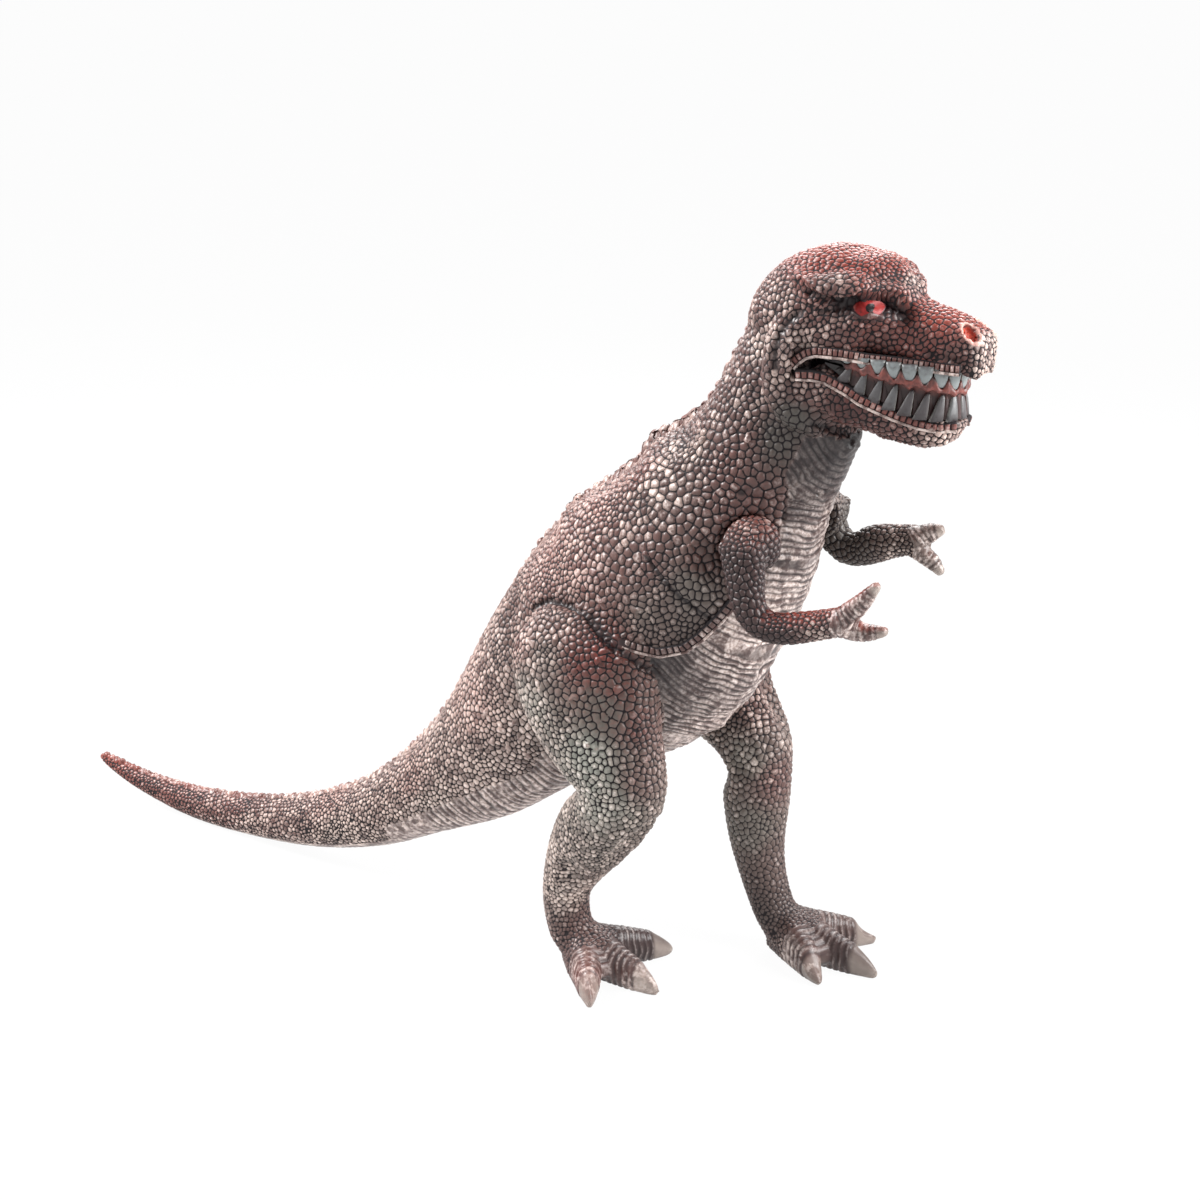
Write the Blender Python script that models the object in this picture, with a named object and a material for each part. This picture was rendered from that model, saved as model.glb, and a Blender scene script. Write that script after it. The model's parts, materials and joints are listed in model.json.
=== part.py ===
"""A painted vinyl play figure of a two-legged meat-eating dinosaur, mid stride.

The figure is cast in separate pieces that plug together: trunk, belly panel, tail, head, lower
jaw, two rows of teeth, two eyes, two legs and two arms. The arms turn on round shoulder pegs and
the rest is glued. +X is the way it faces, +Y its left side, +Z up, and the soles stand on z = 0.
"""

import math

import bmesh
import bpy
from mathutils import Matrix, Vector

# Clearance between pieces that touch, and how far a cutter runs past what it cuts.
GAP = 0.0003
TOOTH_ROOT_GAP = 0.0006
OVERRUN = 0.030
LONG_OVERRUN = 0.060
FOOT_OVERRUN = 0.120

# Trunk and tail. The hip line stands over the origin until the figure is centred.
HIP_HEIGHT = 0.080
TORSO_LENGTH = 0.050
TORSO_HEIGHT = 0.100
BELLY_HALF_WIDTH = 0.028
BELLY_DEPTH = 0.035
TAIL_LENGTH = 0.200
TAIL_ROOT_RADIUS = 0.020

# Glued plugs of the tail, the neck and the hips.
TAIL_PLUG_RADIUS = 0.008
NECK_PLUG_RADIUS = 0.008
HIP_PLUG_RADIUS = 0.006
PLUG_LENGTH = 0.007

# Rows of the leg and trunk tables where the hip's cut, the hip's plug and the neck's seam lie.
HIP_CUT_ROW = 6
HIP_PLUG_ROW = 3
NECK_SEAM_ROW = 7

# Belly panel, a ribbed shell let into the front of the trunk.
PANEL_CORE_SHARE = 0.84
RIB_COUNT = 21
RIB_HEIGHT = 0.0009

# Head and jaw.
HEAD_LENGTH = 0.070
HEAD_HEIGHT = 0.030
HEAD_HALF_WIDTH = 0.016
HEAD_DEPTH = 0.015
HEAD_SQUARE_SHARE = 0.85
NAPE_SHARE = 0.8
CHEEK_RADIUS = 0.0045
BROW_RADIUS = 0.0038
EYE_SIZE = (0.0044, 0.0028, 0.0030)
NOSTRIL_SIZE = (0.0013, 0.0022, 0.0020)

# Gums and teeth.
GUM_HALF_WIDTH = 0.0140
UPPER_TEETH_A_SIDE = 10
LOWER_TEETH_A_SIDE = 9
UPPER_TOOTH_LENGTH = 0.0046
LOWER_TOOTH_LENGTH = 0.0066
TOOTH_HALF_WIDTH = 0.0017
TOOTH_STAND_OUT = 0.0009
TOOTH_POINT_SHARE = 0.15
FIRST_TOOTH_SHARE = 0.8
SMALLEST_TOOTH_SHARE = 0.35
TOOTH_GROWTH_SHARE = 0.75

# Legs and feet.
STANCE_HALF_WIDTH = 0.026
THIGH_DEPTH = 0.022
THIGH_HALF_WIDTH = 0.012
HIP_FLAT = 0.015
TOE_RADIUS = 0.0048
TOE_CENTRE_HEIGHT = 0.0034
SOLE_DEPTH = 0.0012

# Arms, their round shoulder bosses and the pegs that they turn on.
ARM_LENGTH = 0.040
ARM_RADIUS = 0.0050
ARM_SIDE = 0.0240
FINGER_RADIUS = 0.0024
SHOULDER_RADIUS = 0.0075
SHOULDER_SEAT = 0.0155
SHOULDER_THICKNESS = 0.0115
SHOULDER_PEG_RADIUS = 0.0035
SHOULDER_PEG_LENGTH = 0.0080
PEG_CLEARANCE = 0.0001

# Along, up, half width, above and below the axis, from the tail's tip to its root. The first two
# are shares of TAIL_LENGTH and HIP_HEIGHT, the last three of TAIL_ROOT_RADIUS.
TAIL_SHARES = (
    (-1.015, 0.150, 0.060, 0.065, 0.065),
    (-0.980, 0.122, 0.110, 0.120, 0.115),
    (-0.912, 0.086, 0.165, 0.180, 0.170),
    (-0.805, 0.064, 0.230, 0.255, 0.260),
    (-0.675, 0.086, 0.310, 0.330, 0.325),
    (-0.550, 0.144, 0.400, 0.425, 0.410),
    (-0.430, 0.252, 0.490, 0.540, 0.510),
    (-0.330, 0.402, 0.610, 0.680, 0.640),
    (-0.235, 0.590, 0.780, 0.890, 0.950),
    (-0.165, 0.775, 0.940, 1.080, 1.190),
)

# The same for the trunk, from the hips to inside the skull, in shares of TORSO_LENGTH, of
# TORSO_HEIGHT over the hips, of BELLY_HALF_WIDTH and, for the last two, of BELLY_DEPTH.
TORSO_SHARES = (
    (-0.34, 0.010, 0.80, 0.76, 0.89),
    (-0.04, 0.130, 0.93, 0.98, 1.00),
    (0.24, 0.224, 1.00, 1.09, 0.99),
    (0.474, 0.367, 1.00, 1.07, 0.91),
    (0.69, 0.546, 0.88, 0.90, 0.80),
    (0.84, 0.690, 0.71, 0.64, 0.68),
    (0.93, 0.805, 0.60, 0.50, 0.68),
    (0.99, 0.900, 0.54, 0.44, 0.69),
    (1.06, 1.000, 0.50, 0.39, 0.56),
    (1.13, 1.100, 0.46, 0.34, 0.40),
)

# The same along the head, from the nape to the snout, in shares of HEAD_LENGTH, HEAD_HEIGHT,
# HEAD_HALF_WIDTH and, for the last two, of HEAD_DEPTH. The lower jaw's table follows it.
HEAD_SHARES = (
    (0.07, 0.20, 0.42, 0.30, 0.50),
    (0.14, 0.32, 0.74, 0.64, 0.92),
    (0.24, 0.43, 0.93, 0.92, 1.15),
    (0.37, 0.53, 1.00, 0.99, 1.33),
    (0.48, 0.55, 0.94, 0.93, 1.33),
    (0.56, 0.54, 0.82, 0.82, 1.28),
    (0.61, 0.49, 0.68, 0.60, 1.16),
    (0.68, 0.43, 0.60, 0.42, 1.06),
    (0.76, 0.41, 0.55, 0.36, 1.00),
    (0.84, 0.38, 0.49, 0.32, 0.94),
    (0.90, 0.35, 0.44, 0.27, 0.88),
    (0.935, 0.335, 0.38, 0.20, 0.82),
    (0.957, 0.33, 0.27, 0.08, 0.74),
)

JAW_SHARES = (
    (0.23, -0.07, 0.84, 0.40, 0.73),
    (0.31, -0.07, 0.95, 0.47, 0.80),
    (0.43, -0.02, 0.94, 0.40, 0.93),
    (0.54, -0.15, 0.85, 0.33, 0.70),
    (0.65, -0.27, 0.73, 0.27, 0.53),
    (0.75, -0.33, 0.58, 0.27, 0.45),
    (0.83, -0.34, 0.42, 0.23, 0.35),
    (0.862, -0.33, 0.26, 0.20, 0.23),
    (0.880, -0.33, 0.09, 0.10, 0.10),
)

# Lines of the mouth seen from the side, in shares of HEAD_LENGTH and HEAD_HEIGHT.
UPPER_LIP_SHARES = (
    (0.31, 0.04), (0.38, 0.18), (0.47, 0.225), (0.62, 0.213), (0.78, 0.187), (0.88, 0.145),
    (0.96, 0.080), (1.10, 0.06),
)
BITE_SHARES = (
    (0.415, 0.14), (0.52, 0.10), (0.63, 0.06), (0.76, 0.03), (0.90, -0.02), (1.10, -0.06),
)
LOWER_LIP_SHARES = (
    (0.415, 0.11), (0.463, 0.04), (0.53, -0.087), (0.62, -0.183), (0.69, -0.247), (0.77, -0.293),
    (0.87, -0.307), (1.10, -0.30),
)
CREASE_SHARES = ((0.31, 0.03), (0.35, -0.20), (0.40, -0.43), (0.51, -0.66), (0.57, -1.00))
CHIN_SHARES = ((1.10, -1.00),)

# The gums seen from above, a half outline in shares of HEAD_LENGTH and GUM_HALF_WIDTH.
GUM_SHARES = (
    (0.30, 0.97), (0.43, 0.96), (0.54, 0.88), (0.65, 0.75), (0.75, 0.60), (0.80, 0.46),
    (0.845, 0.28), (0.862, 0.10),
)

# Along, aside and up on the head, then how thick, for the raised brows and cheek rolls. The last is
# a share of BROW_RADIUS or CHEEK_RADIUS.
BROW_SHARES = (
    (0.29, 0.84, 0.58, 0.35),
    (0.40, 0.87, 0.72, 0.90),
    (0.50, 0.78, 0.77, 1.00),
    (0.58, 0.58, 0.73, 0.90),
    (0.64, 0.34, 0.66, 0.45),
)
CHEEK_SHARES = (
    (0.35, 0.72, 0.50, 0.35),
    (0.27, 0.86, 0.36, 0.90),
    (0.245, 0.86, 0.10, 1.00),
    (0.25, 0.84, -0.16, 1.00),
    (0.31, 0.78, -0.36, 0.90),
    (0.40, 0.70, -0.45, 0.50),
)
EYE_PLACE_SHARES = (0.56, 0.78, 0.60)
NOSTRIL_PLACE_SHARES = (0.905, 0.30, 0.44)

# Side edge of the belly panel, from the tail to the throat: a row of the trunk's table, and the
# share of that row's depth below the axis.
PANEL_EDGE_SHARES = (
    (0, 0.50), (1, 0.30), (2, 0.25), (2.33, 0.34), (2.67, 0.48), (3, 0.63), (3.33, 0.70),
    (3.67, 0.78), (4, 0.86), (4.33, 0.84), (5, 0.74), (5.67, 0.80),
)
PANEL_FRONT_SHARE = 1.4

# Along, aside and up from the sole, then front, back and half width, from hip to foot. They are
# shares of THIGH_DEPTH, STANCE_HALF_WIDTH and HIP_HEIGHT, of THIGH_DEPTH for front and back, and
# of THIGH_HALF_WIDTH.
RIGHT_LEG_SHARES = (
    (0.14, 1.04, 1.39, 0.36, 0.36, 0.33),
    (0.18, 1.04, 1.30, 0.82, 0.82, 0.71),
    (0.27, 1.02, 1.19, 1.00, 0.98, 0.92),
    (0.43, 1.00, 1.05, 0.95, 0.93, 1.00),
    (0.66, 1.00, 0.91, 0.76, 0.76, 0.96),
    (0.84, 1.00, 0.79, 0.60, 0.60, 0.87),
    (0.73, 0.98, 0.68, 0.53, 0.55, 0.80),
    (0.46, 0.92, 0.575, 0.44, 0.60, 0.74),
    (0.14, 0.85, 0.455, 0.36, 0.50, 0.64),
    (-0.13, 0.77, 0.34, 0.32, 0.34, 0.54),
    (-0.20, 0.73, 0.24, 0.31, 0.29, 0.50),
    (-0.12, 0.73, 0.15, 0.30, 0.28, 0.53),
    (0.08, 0.73, 0.09, 0.27, 0.24, 0.56),
)
LEFT_LEG_SHARES = (
    (0.16, 1.04, 1.39, 0.36, 0.36, 0.33),
    (0.22, 1.04, 1.30, 0.82, 0.82, 0.71),
    (0.36, 1.02, 1.19, 1.00, 0.98, 0.92),
    (0.64, 1.00, 1.05, 0.93, 0.93, 1.00),
    (1.01, 0.96, 0.925, 0.73, 0.74, 0.96),
    (1.39, 0.92, 0.80, 0.53, 0.55, 0.87),
    (1.48, 0.90, 0.675, 0.47, 0.45, 0.77),
    (1.50, 0.88, 0.55, 0.44, 0.43, 0.72),
    (1.53, 0.865, 0.425, 0.38, 0.37, 0.62),
    (1.62, 0.85, 0.31, 0.32, 0.31, 0.52),
    (1.72, 0.85, 0.22, 0.30, 0.27, 0.50),
    (1.84, 0.85, 0.145, 0.28, 0.25, 0.53),
    (2.00, 0.85, 0.09, 0.27, 0.23, 0.56),
)

# Where the claws' tips are, in shares of THIGH_DEPTH and STANCE_HALF_WIDTH.
RIGHT_TOE_SHARES = ((0.72, 1.43), (1.24, 0.80), (0.80, -0.10))
LEFT_TOE_SHARES = ((2.84, 0.33), (3.36, 0.81), (2.90, 1.55))

# From the foot's root to the claw's tip: along the toe, width, height and rise, the last three in
# shares of TOE_RADIUS and TOE_CENTRE_HEIGHT.
TOE_SHARES = (
    (0.00, 1.15, 1.20, 2.70),
    (0.20, 1.08, 1.12, 2.25),
    (0.45, 1.02, 1.04, 1.75),
    (0.68, 0.96, 0.94, 1.28),
    (0.85, 0.78, 0.78, 0.92),
    (0.95, 0.50, 0.50, 0.56),
    (1.00, 0.22, 0.22, 0.38),
)

# The shoulder pegs' axis over the hips, in shares of TORSO_LENGTH and TORSO_HEIGHT.
SHOULDER_PLACE_SHARES = (1.05, 0.552)

# From the shoulder along, aside and up, in shares of ARM_LENGTH, ARM_RADIUS and ARM_LENGTH, then
# front, back and half width in shares of ARM_RADIUS. The fingers start the same way.
RIGHT_ARM_SHARES = (
    (0.00, 0.0, 0.05, 1.25, 1.25, 0.80),
    (0.04, 0.0, -0.15, 1.05, 1.08, 0.92),
    (0.08, 0.1, -0.32, 0.80, 0.98, 0.88),
    (0.16, 0.1, -0.43, 0.62, 0.92, 0.86),
    (0.30, 0.0, -0.46, 0.72, 0.86, 0.84),
    (0.48, -0.1, -0.42, 0.78, 0.80, 0.80),
    (0.64, -0.2, -0.36, 0.76, 0.76, 0.82),
    (0.76, -0.2, -0.30, 0.60, 0.60, 0.78),
    (0.81, -0.2, -0.28, 0.30, 0.30, 0.50),
)
LEFT_ARM_SHARES = (
    (0.00, 0.0, 0.05, 1.25, 1.25, 0.80),
    (0.00, 0.1, -0.06, 1.05, 1.12, 0.92),
    (0.02, 0.3, -0.17, 0.75, 1.10, 0.90),
    (0.13, 0.3, -0.27, 0.62, 1.06, 0.90),
    (0.28, 0.1, -0.25, 1.00, 1.00, 0.88),
    (0.455, 0.0, -0.185, 1.06, 0.90, 0.82),
    (0.60, 0.0, -0.145, 0.92, 0.78, 0.80),
    (0.70, 0.0, -0.125, 0.68, 0.66, 0.78),
    (0.74, 0.0, -0.125, 0.30, 0.30, 0.50),
)
RIGHT_FINGER_SHARES = (
    ((0.66, -0.1, -0.33), (0.84, 0.0, -0.20), (0.975, 0.1, -0.05)),
    ((0.68, -0.4, -0.38), (0.86, -0.5, -0.385), (1.01, -0.6, -0.365)),
)
LEFT_FINGER_SHARES = (
    ((0.62, 0.0, -0.13), (0.74, 0.1, -0.065), (0.835, 0.2, -0.035)),
    ((0.62, -0.2, -0.16), (0.765, -0.3, -0.22), (0.87, -0.4, -0.32)),
)
FINGER_TAPER_SHARES = (1.10, 1.00, 0.45)

# Facets round a piece, sections from one row of a table to the next, and the sharpest smooth edge.
TRUNK_SIDES = 24
HEAD_SIDES = 20
LIMB_SIDES = 14
TOE_SIDES = 10
FINGER_SIDES = 8
TOOTH_SIDES = 6
BALL_SIDES = 12
ROUND_SIDES = 20
TRUNK_STEPS = 3
PANEL_STEPS = 3
PANEL_START = 2
LIMB_STEPS = 2
FINGER_STEPS = 3
GUM_STEPS = 6
SMOOTH_DEGREES = 50.0
MITRE_LIMIT_SHARE = 0.4

COLOURS = {
    "skin": ((0.42, 0.27, 0.23), 0.45),
    "belly": ((0.50, 0.45, 0.38), 0.5),
    "gum": ((0.35, 0.06, 0.03), 0.3),
    "eye": ((0.50, 0.03, 0.03), 0.15),
}


def clear_scene():
    for item in list(bpy.data.objects):
        bpy.data.objects.remove(item, do_unlink=True)


def collection(name):
    made = bpy.data.collections.new(name)
    bpy.context.scene.collection.children.link(made)
    return made


def painted(name, colour, roughness):
    material = bpy.data.materials.new(name)
    material.use_nodes = True
    shader = material.node_tree.nodes["Principled BSDF"]
    shader.inputs["Base Color"].default_value = (*colour, 1.0)
    shader.inputs["Roughness"].default_value = roughness
    shader.inputs["Metallic"].default_value = 0.0
    return material


def smooth_rows(rows, steps):
    """Rows of numbers run through by a smooth curve, with this many steps from one to the next."""
    ends = [rows[0], *rows, rows[-1]]
    out = []
    for before, start, end, after in zip(ends, ends[1:], ends[2:], ends[3:]):
        for step in range(steps):
            t = step / steps
            out.append(tuple(
                b + (c - a) * t / 2 + (a - (5 * b - 4 * c + d) / 2) * t**2 + (3 * b - a - 3 * c + d) * t**3 / 2
                for a, b, c, d in zip(before, start, end, after)
            ))
    return [*out, tuple(rows[-1])]


def sections(rows):
    """Centre, sideways, outward and forward directions and the three half sizes of each row."""
    centres = [Vector(row[:3]) for row in rows]
    found = []
    for index, row in enumerate(rows):
        ahead = centres[min(index + 1, len(rows) - 1)]
        behind = centres[max(index - 1, 0)]
        forward = (ahead - behind).normalized()
        outward = forward.cross(Vector((0, 1, 0))).normalized()
        sideways = outward.cross(forward)
        found.append((centres[index], sideways, outward, forward, *row[3:6]))
    return found


def ring(section, sides, share=1.0, grow=0.0, shift=0.0, power=1.0):
    """Points round one section, an oval with its own depth to each side of the axis."""
    centre, sideways, outward, forward, half_width, above, below = section
    points = []
    for index in range(sides):
        angle = math.tau * (index + 0.5) / sides
        across, up = math.cos(angle), math.sin(angle)
        across = math.copysign(abs(across) ** power, across)
        up = math.copysign(abs(up) ** power, up)
        depth = above if up > 0 else below
        points.append(
            centre
            + sideways * (half_width * share + grow) * across
            + outward * (depth * share + grow) * up
            + forward * shift
        )
    return points


def held(name, mesh):
    """The object of a closed mesh, whose faces are turned to point out."""
    bmesh.ops.recalc_face_normals(mesh, faces=mesh.faces)
    if mesh.calc_volume(signed=True) < 0:
        bmesh.ops.reverse_faces(mesh, faces=mesh.faces)
    data = bpy.data.meshes.new(name)
    mesh.to_mesh(data)
    mesh.free()
    return bpy.data.objects.new(name, data)


def skin(name, rings):
    """One closed body through rings that have the same number of points."""
    mesh = bmesh.new()
    loops = [[mesh.verts.new(point) for point in points] for points in rings]
    for lower, upper in zip(loops, loops[1:]):
        for index in range(len(lower)):
            after = (index + 1) % len(lower)
            mesh.faces.new((lower[index], lower[after], upper[after], upper[index]))
    mesh.faces.new(list(reversed(loops[0])))
    mesh.faces.new(loops[-1])
    return held(name, mesh)


def loft(name, rows, steps, sides, grow=0.0, power=1.0):
    found = sections(smooth_rows(rows, steps))
    return skin(name, [ring(section, sides, grow=grow, power=power) for section in found])


def prism(name, outline, half_depth):
    """An outline in the X-Z plane, run this far to both sides of it."""
    mesh = bmesh.new()
    face = mesh.faces.new([mesh.verts.new((x, -half_depth, z)) for x, z in outline])
    moved = bmesh.ops.extrude_face_region(mesh, geom=[face])["geom"]
    verts = [item for item in moved if isinstance(item, bmesh.types.BMVert)]
    bmesh.ops.translate(mesh, verts=verts, vec=(0, half_depth * 2, 0))
    return held(name, mesh)


def grown(outline, distance):
    """The outline moved outward by a distance, or inward where it is negative."""
    points = [Vector(point) for point in outline]
    area = sum(a.x * b.y - b.x * a.y for a, b in zip(points, points[1:] + points[:1]))
    turn = distance if area > 0 else -distance
    out = []
    for before, here, after in zip(points[-1:] + points[:-1], points, points[1:] + points[:1]):
        first = (here - before).normalized()
        second = (after - here).normalized()
        bisector = Vector((first.y + second.y, -first.x - second.x)).normalized()
        reach = max(bisector.dot(Vector((first.y, -first.x))), MITRE_LIMIT_SHARE)
        out.append(tuple(here + bisector * turn / reach))
    return out


def ball(name, centre, size, sides=BALL_SIDES):
    """A ball with its own half size each way, and its poles to the figure's left and right."""
    mesh = bmesh.new()
    bmesh.ops.create_uvsphere(mesh, u_segments=sides, v_segments=sides // 2, radius=1.0)
    bmesh.ops.rotate(mesh, verts=mesh.verts, matrix=Matrix.Rotation(math.pi / 2, 3, "X"))
    bmesh.ops.scale(mesh, verts=mesh.verts, vec=size)
    bmesh.ops.translate(mesh, verts=mesh.verts, vec=centre)
    return held(name, mesh)


def plug(name, start, end, radius, sides=ROUND_SIDES):
    """A round plug from one point to another."""
    start, end = Vector(start), Vector(end)
    along = end - start
    mesh = bmesh.new()
    bmesh.ops.create_cone(
        mesh, cap_ends=True, segments=sides, radius1=radius, radius2=radius, depth=along.length
    )
    turn = along.to_track_quat("Z", "Y").to_matrix().to_4x4()
    bmesh.ops.transform(mesh, verts=mesh.verts, matrix=Matrix.Translation((start + end) / 2) @ turn)
    return held(name, mesh)


def box(name, low, high):
    mesh = bmesh.new()
    bmesh.ops.create_cube(mesh, size=1.0)
    low, high = Vector(low), Vector(high)
    bmesh.ops.scale(mesh, verts=mesh.verts, vec=high - low)
    bmesh.ops.translate(mesh, verts=mesh.verts, vec=(low + high) / 2)
    return held(name, mesh)


def combine(target, operation, *tools):
    """Adds or takes away each tool, which is kept with the cutters."""
    for tool in tools:
        if tool.name not in CUTTERS.objects:
            CUTTERS.objects.link(tool)
            tool.parent = STAND
            tool.hide_render = True
            tool.display_type = "WIRE"
        step = target.modifiers.new(tool.name, "BOOLEAN")
        step.operation = operation
        step.solver = "EXACT"
        step.object = tool
    return target


def finish(item, material):
    PARTS.objects.link(item)
    item.parent = STAND
    item.data.materials.append(material)
    item.data.shade_smooth()
    item.data.set_sharp_from_angle(angle=math.radians(SMOOTH_DEGREES))
    return item


def head_point(along, aside, up, side=1):
    """A point of the head from its shares, with aside towards the left where side is 1."""
    return Vector((
        NAPE.x + along * HEAD_LENGTH,
        side * aside * HEAD_HALF_WIDTH,
        NAPE.z + up * HEAD_HEIGHT,
    ))


def head_loft(name, shares):
    """A body along the head through the rows of one of its tables."""
    rows = [
        (*head_point(x, 0, z), w * HEAD_HALF_WIDTH, a * HEAD_DEPTH, b * HEAD_DEPTH)
        for x, z, w, a, b in shares
    ]
    return loft(name, rows, LIMB_STEPS, HEAD_SIDES, power=HEAD_SQUARE_SHARE)


def side_line(shares):
    return [tuple(head_point(along, 0, up).xz) for along, up in shares]


def trunk_sections():
    tail = [
        (
            x * TAIL_LENGTH, 0, z * HIP_HEIGHT,
            w * TAIL_ROOT_RADIUS, a * TAIL_ROOT_RADIUS, b * TAIL_ROOT_RADIUS,
        )
        for x, z, w, a, b in TAIL_SHARES
    ]
    torso = [
        (
            x * TORSO_LENGTH, 0, HIP_HEIGHT + z * TORSO_HEIGHT,
            w * BELLY_HALF_WIDTH, a * BELLY_DEPTH, b * BELLY_DEPTH,
        )
        for x, z, w, a, b in TORSO_SHARES
    ]
    return tail + torso


def panel_edge(torso):
    """Outline of the belly panel seen from the side, closed in front of the figure."""
    first, last = PANEL_EDGE_SHARES[0][0], PANEL_EDGE_SHARES[-1][0]
    outside = [(row, PANEL_FRONT_SHARE) for row in (last, *range(math.floor(last), first - 1, -1))]
    points = []
    for row, share in (*PANEL_EDGE_SHARES, *outside):
        centre, _, outward, _, _, _, below = torso[round(row * TRUNK_STEPS)]
        points.append(tuple((centre - outward * below * share).xz))
    return points


def leg_rows(path, side):
    return [
        (
            x * THIGH_DEPTH, side * y * STANCE_HALF_WIDTH, z * HIP_HEIGHT,
            w * THIGH_HALF_WIDTH, f * THIGH_DEPTH, b * THIGH_DEPTH,
        )
        for x, y, z, f, b, w in path
    ]


def toe(name, root, tip):
    rows = []
    for along, width, height, rise in TOE_SHARES:
        place = root.lerp(tip, along)
        rows.append((
            place.x, place.y, rise * TOE_CENTRE_HEIGHT,
            width * TOE_RADIUS, height * TOE_RADIUS, rise * TOE_CENTRE_HEIGHT + SOLE_DEPTH,
        ))
    return loft(name, rows, LIMB_STEPS, TOE_SIDES)


def leg(name, path, toes, side):
    """A thigh, shin and three-toed foot in one casting, cut flat at the sole and at the hip."""
    rows = leg_rows(path, side)
    made = loft(name, rows, LIMB_STEPS, LIMB_SIDES)
    root = Vector(rows[-1][:3])
    for number, (x, y) in enumerate(toes):
        tip = Vector((x * THIGH_DEPTH, side * y * STANCE_HALF_WIDTH, 0))
        combine(made, "UNION", toe(f"{name}_toe_{number}", root, tip))
    combine(made, "DIFFERENCE", box(
        f"{name}_ground", (-OVERRUN, -LONG_OVERRUN, -OVERRUN), (FOOT_OVERRUN, LONG_OVERRUN, 0)
    ))
    top = HIP_HEIGHT + TORSO_HEIGHT
    combine(made, "DIFFERENCE", box(
        f"{name}_hip_flat", (-OVERRUN, -HIP_FLAT, rows[HIP_CUT_ROW][2]), (LONG_OVERRUN, HIP_FLAT, top)
    ))
    hip = Vector(rows[HIP_PLUG_ROW][:3])
    inner = side * (HIP_FLAT - PLUG_LENGTH)
    combine(made, "UNION", plug(f"{name}_plug", hip, (hip.x, inner, hip.z), HIP_PLUG_RADIUS))

    hidden = sections(smooth_rows(rows, LIMB_STEPS))[:HIP_CUT_ROW * LIMB_STEPS + 1]
    pocket = skin(f"{name}_pocket", [ring(section, LIMB_SIDES, grow=GAP) for section in hidden])
    seat = HIP_FLAT - GAP
    combine(pocket, "DIFFERENCE", box(
        f"{name}_pocket_flat", (-OVERRUN, -seat, 0), (LONG_OVERRUN, seat, top)
    ))
    socket_end = side * (HIP_FLAT - PLUG_LENGTH - GAP)
    socket = plug(f"{name}_socket", hip, (hip.x, socket_end, hip.z), HIP_PLUG_RADIUS + GAP)
    return made, (pocket, socket)


def arm(name, path, fingers, side):
    """An upper arm, forearm and two-fingered hand that turn on a round peg in the shoulder."""
    shoulder = Vector((
        SHOULDER_PLACE_SHARES[0] * TORSO_LENGTH, 0, HIP_HEIGHT + SHOULDER_PLACE_SHARES[1] * TORSO_HEIGHT
    ))

    def place(x, y, z):
        return (x * ARM_LENGTH, side * (ARM_SIDE + y * ARM_RADIUS), z * ARM_LENGTH)

    rows = [(*place(x, y, z), w * ARM_RADIUS, f * ARM_RADIUS, b * ARM_RADIUS) for x, y, z, f, b, w in path]
    made = loft(name, rows, LIMB_STEPS, LIMB_SIDES)
    made.location = shoulder
    tools = []
    for number, finger in enumerate(fingers):
        rows = [
            (*place(*point), *(share * FINGER_RADIUS,) * 3)
            for point, share in zip(finger, FINGER_TAPER_SHARES)
        ]
        tools.append(loft(f"{name}_finger_{number}", rows, FINGER_STEPS, FINGER_SIDES))
    boss_size = (SHOULDER_RADIUS, SHOULDER_THICKNESS, SHOULDER_RADIUS)
    boss = ball(f"{name}_boss", (0, side * SHOULDER_SEAT, 0), boss_size, ROUND_SIDES)
    low, high = sorted((-side * OVERRUN, side * SHOULDER_SEAT))
    seat_face = box(f"{name}_boss_seat", (-OVERRUN, low, -OVERRUN), (OVERRUN, high, OVERRUN))
    seat_face.location = boss.location = shoulder
    combine(boss, "DIFFERENCE", seat_face)
    peg_start, peg_end = SHOULDER_SEAT + ARM_RADIUS, SHOULDER_SEAT - SHOULDER_PEG_LENGTH
    tools += [boss, plug(
        f"{name}_peg", (0, side * peg_start, 0), (0, side * peg_end, 0), SHOULDER_PEG_RADIUS
    )]
    for tool in tools:
        tool.location = shoulder
    combine(made, "UNION", *tools)

    seat = SHOULDER_SEAT - GAP
    recess = plug(
        f"{name}_recess", shoulder + Vector((0, side * seat, 0)),
        shoulder + Vector((0, side * (seat + OVERRUN), 0)), SHOULDER_RADIUS + GAP,
    )
    socket = plug(
        f"{name}_socket", shoulder + Vector((0, side * (SHOULDER_SEAT + GAP), 0)),
        shoulder + Vector((0, side * (peg_end - GAP), 0)), SHOULDER_PEG_RADIUS + PEG_CLEARANCE,
    )
    return made, (recess, socket)


def tooth(name, place, outward, reach, half_width):
    """A flattened pointed tooth that stands out from the gum, root first."""
    mesh = bmesh.new()
    bmesh.ops.create_cone(
        mesh, cap_ends=True, segments=TOOTH_SIDES, radius1=half_width,
        radius2=half_width * TOOTH_POINT_SHARE, depth=abs(reach),
    )
    bmesh.ops.scale(mesh, verts=mesh.verts, vec=(1.0, TOOTH_STAND_OUT / half_width, 1.0))
    if reach < 0:
        bmesh.ops.rotate(mesh, verts=mesh.verts, matrix=Matrix.Rotation(math.pi, 3, "X"))
    turn = Matrix.Rotation(math.atan2(-outward.x, outward.y), 4, "Z")
    middle = Matrix.Translation(place + Vector((0, 0, reach / 2)))
    bmesh.ops.transform(mesh, verts=mesh.verts, matrix=middle @ turn)
    return held(name, mesh)


def height_on(line, x):
    for (x0, z0), (x1, z1) in zip(line, line[1:]):
        if x0 <= x <= x1:
            return z0 + (z1 - z0) * (x - x0) / (x1 - x0)
    return line[-1][1]


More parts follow.
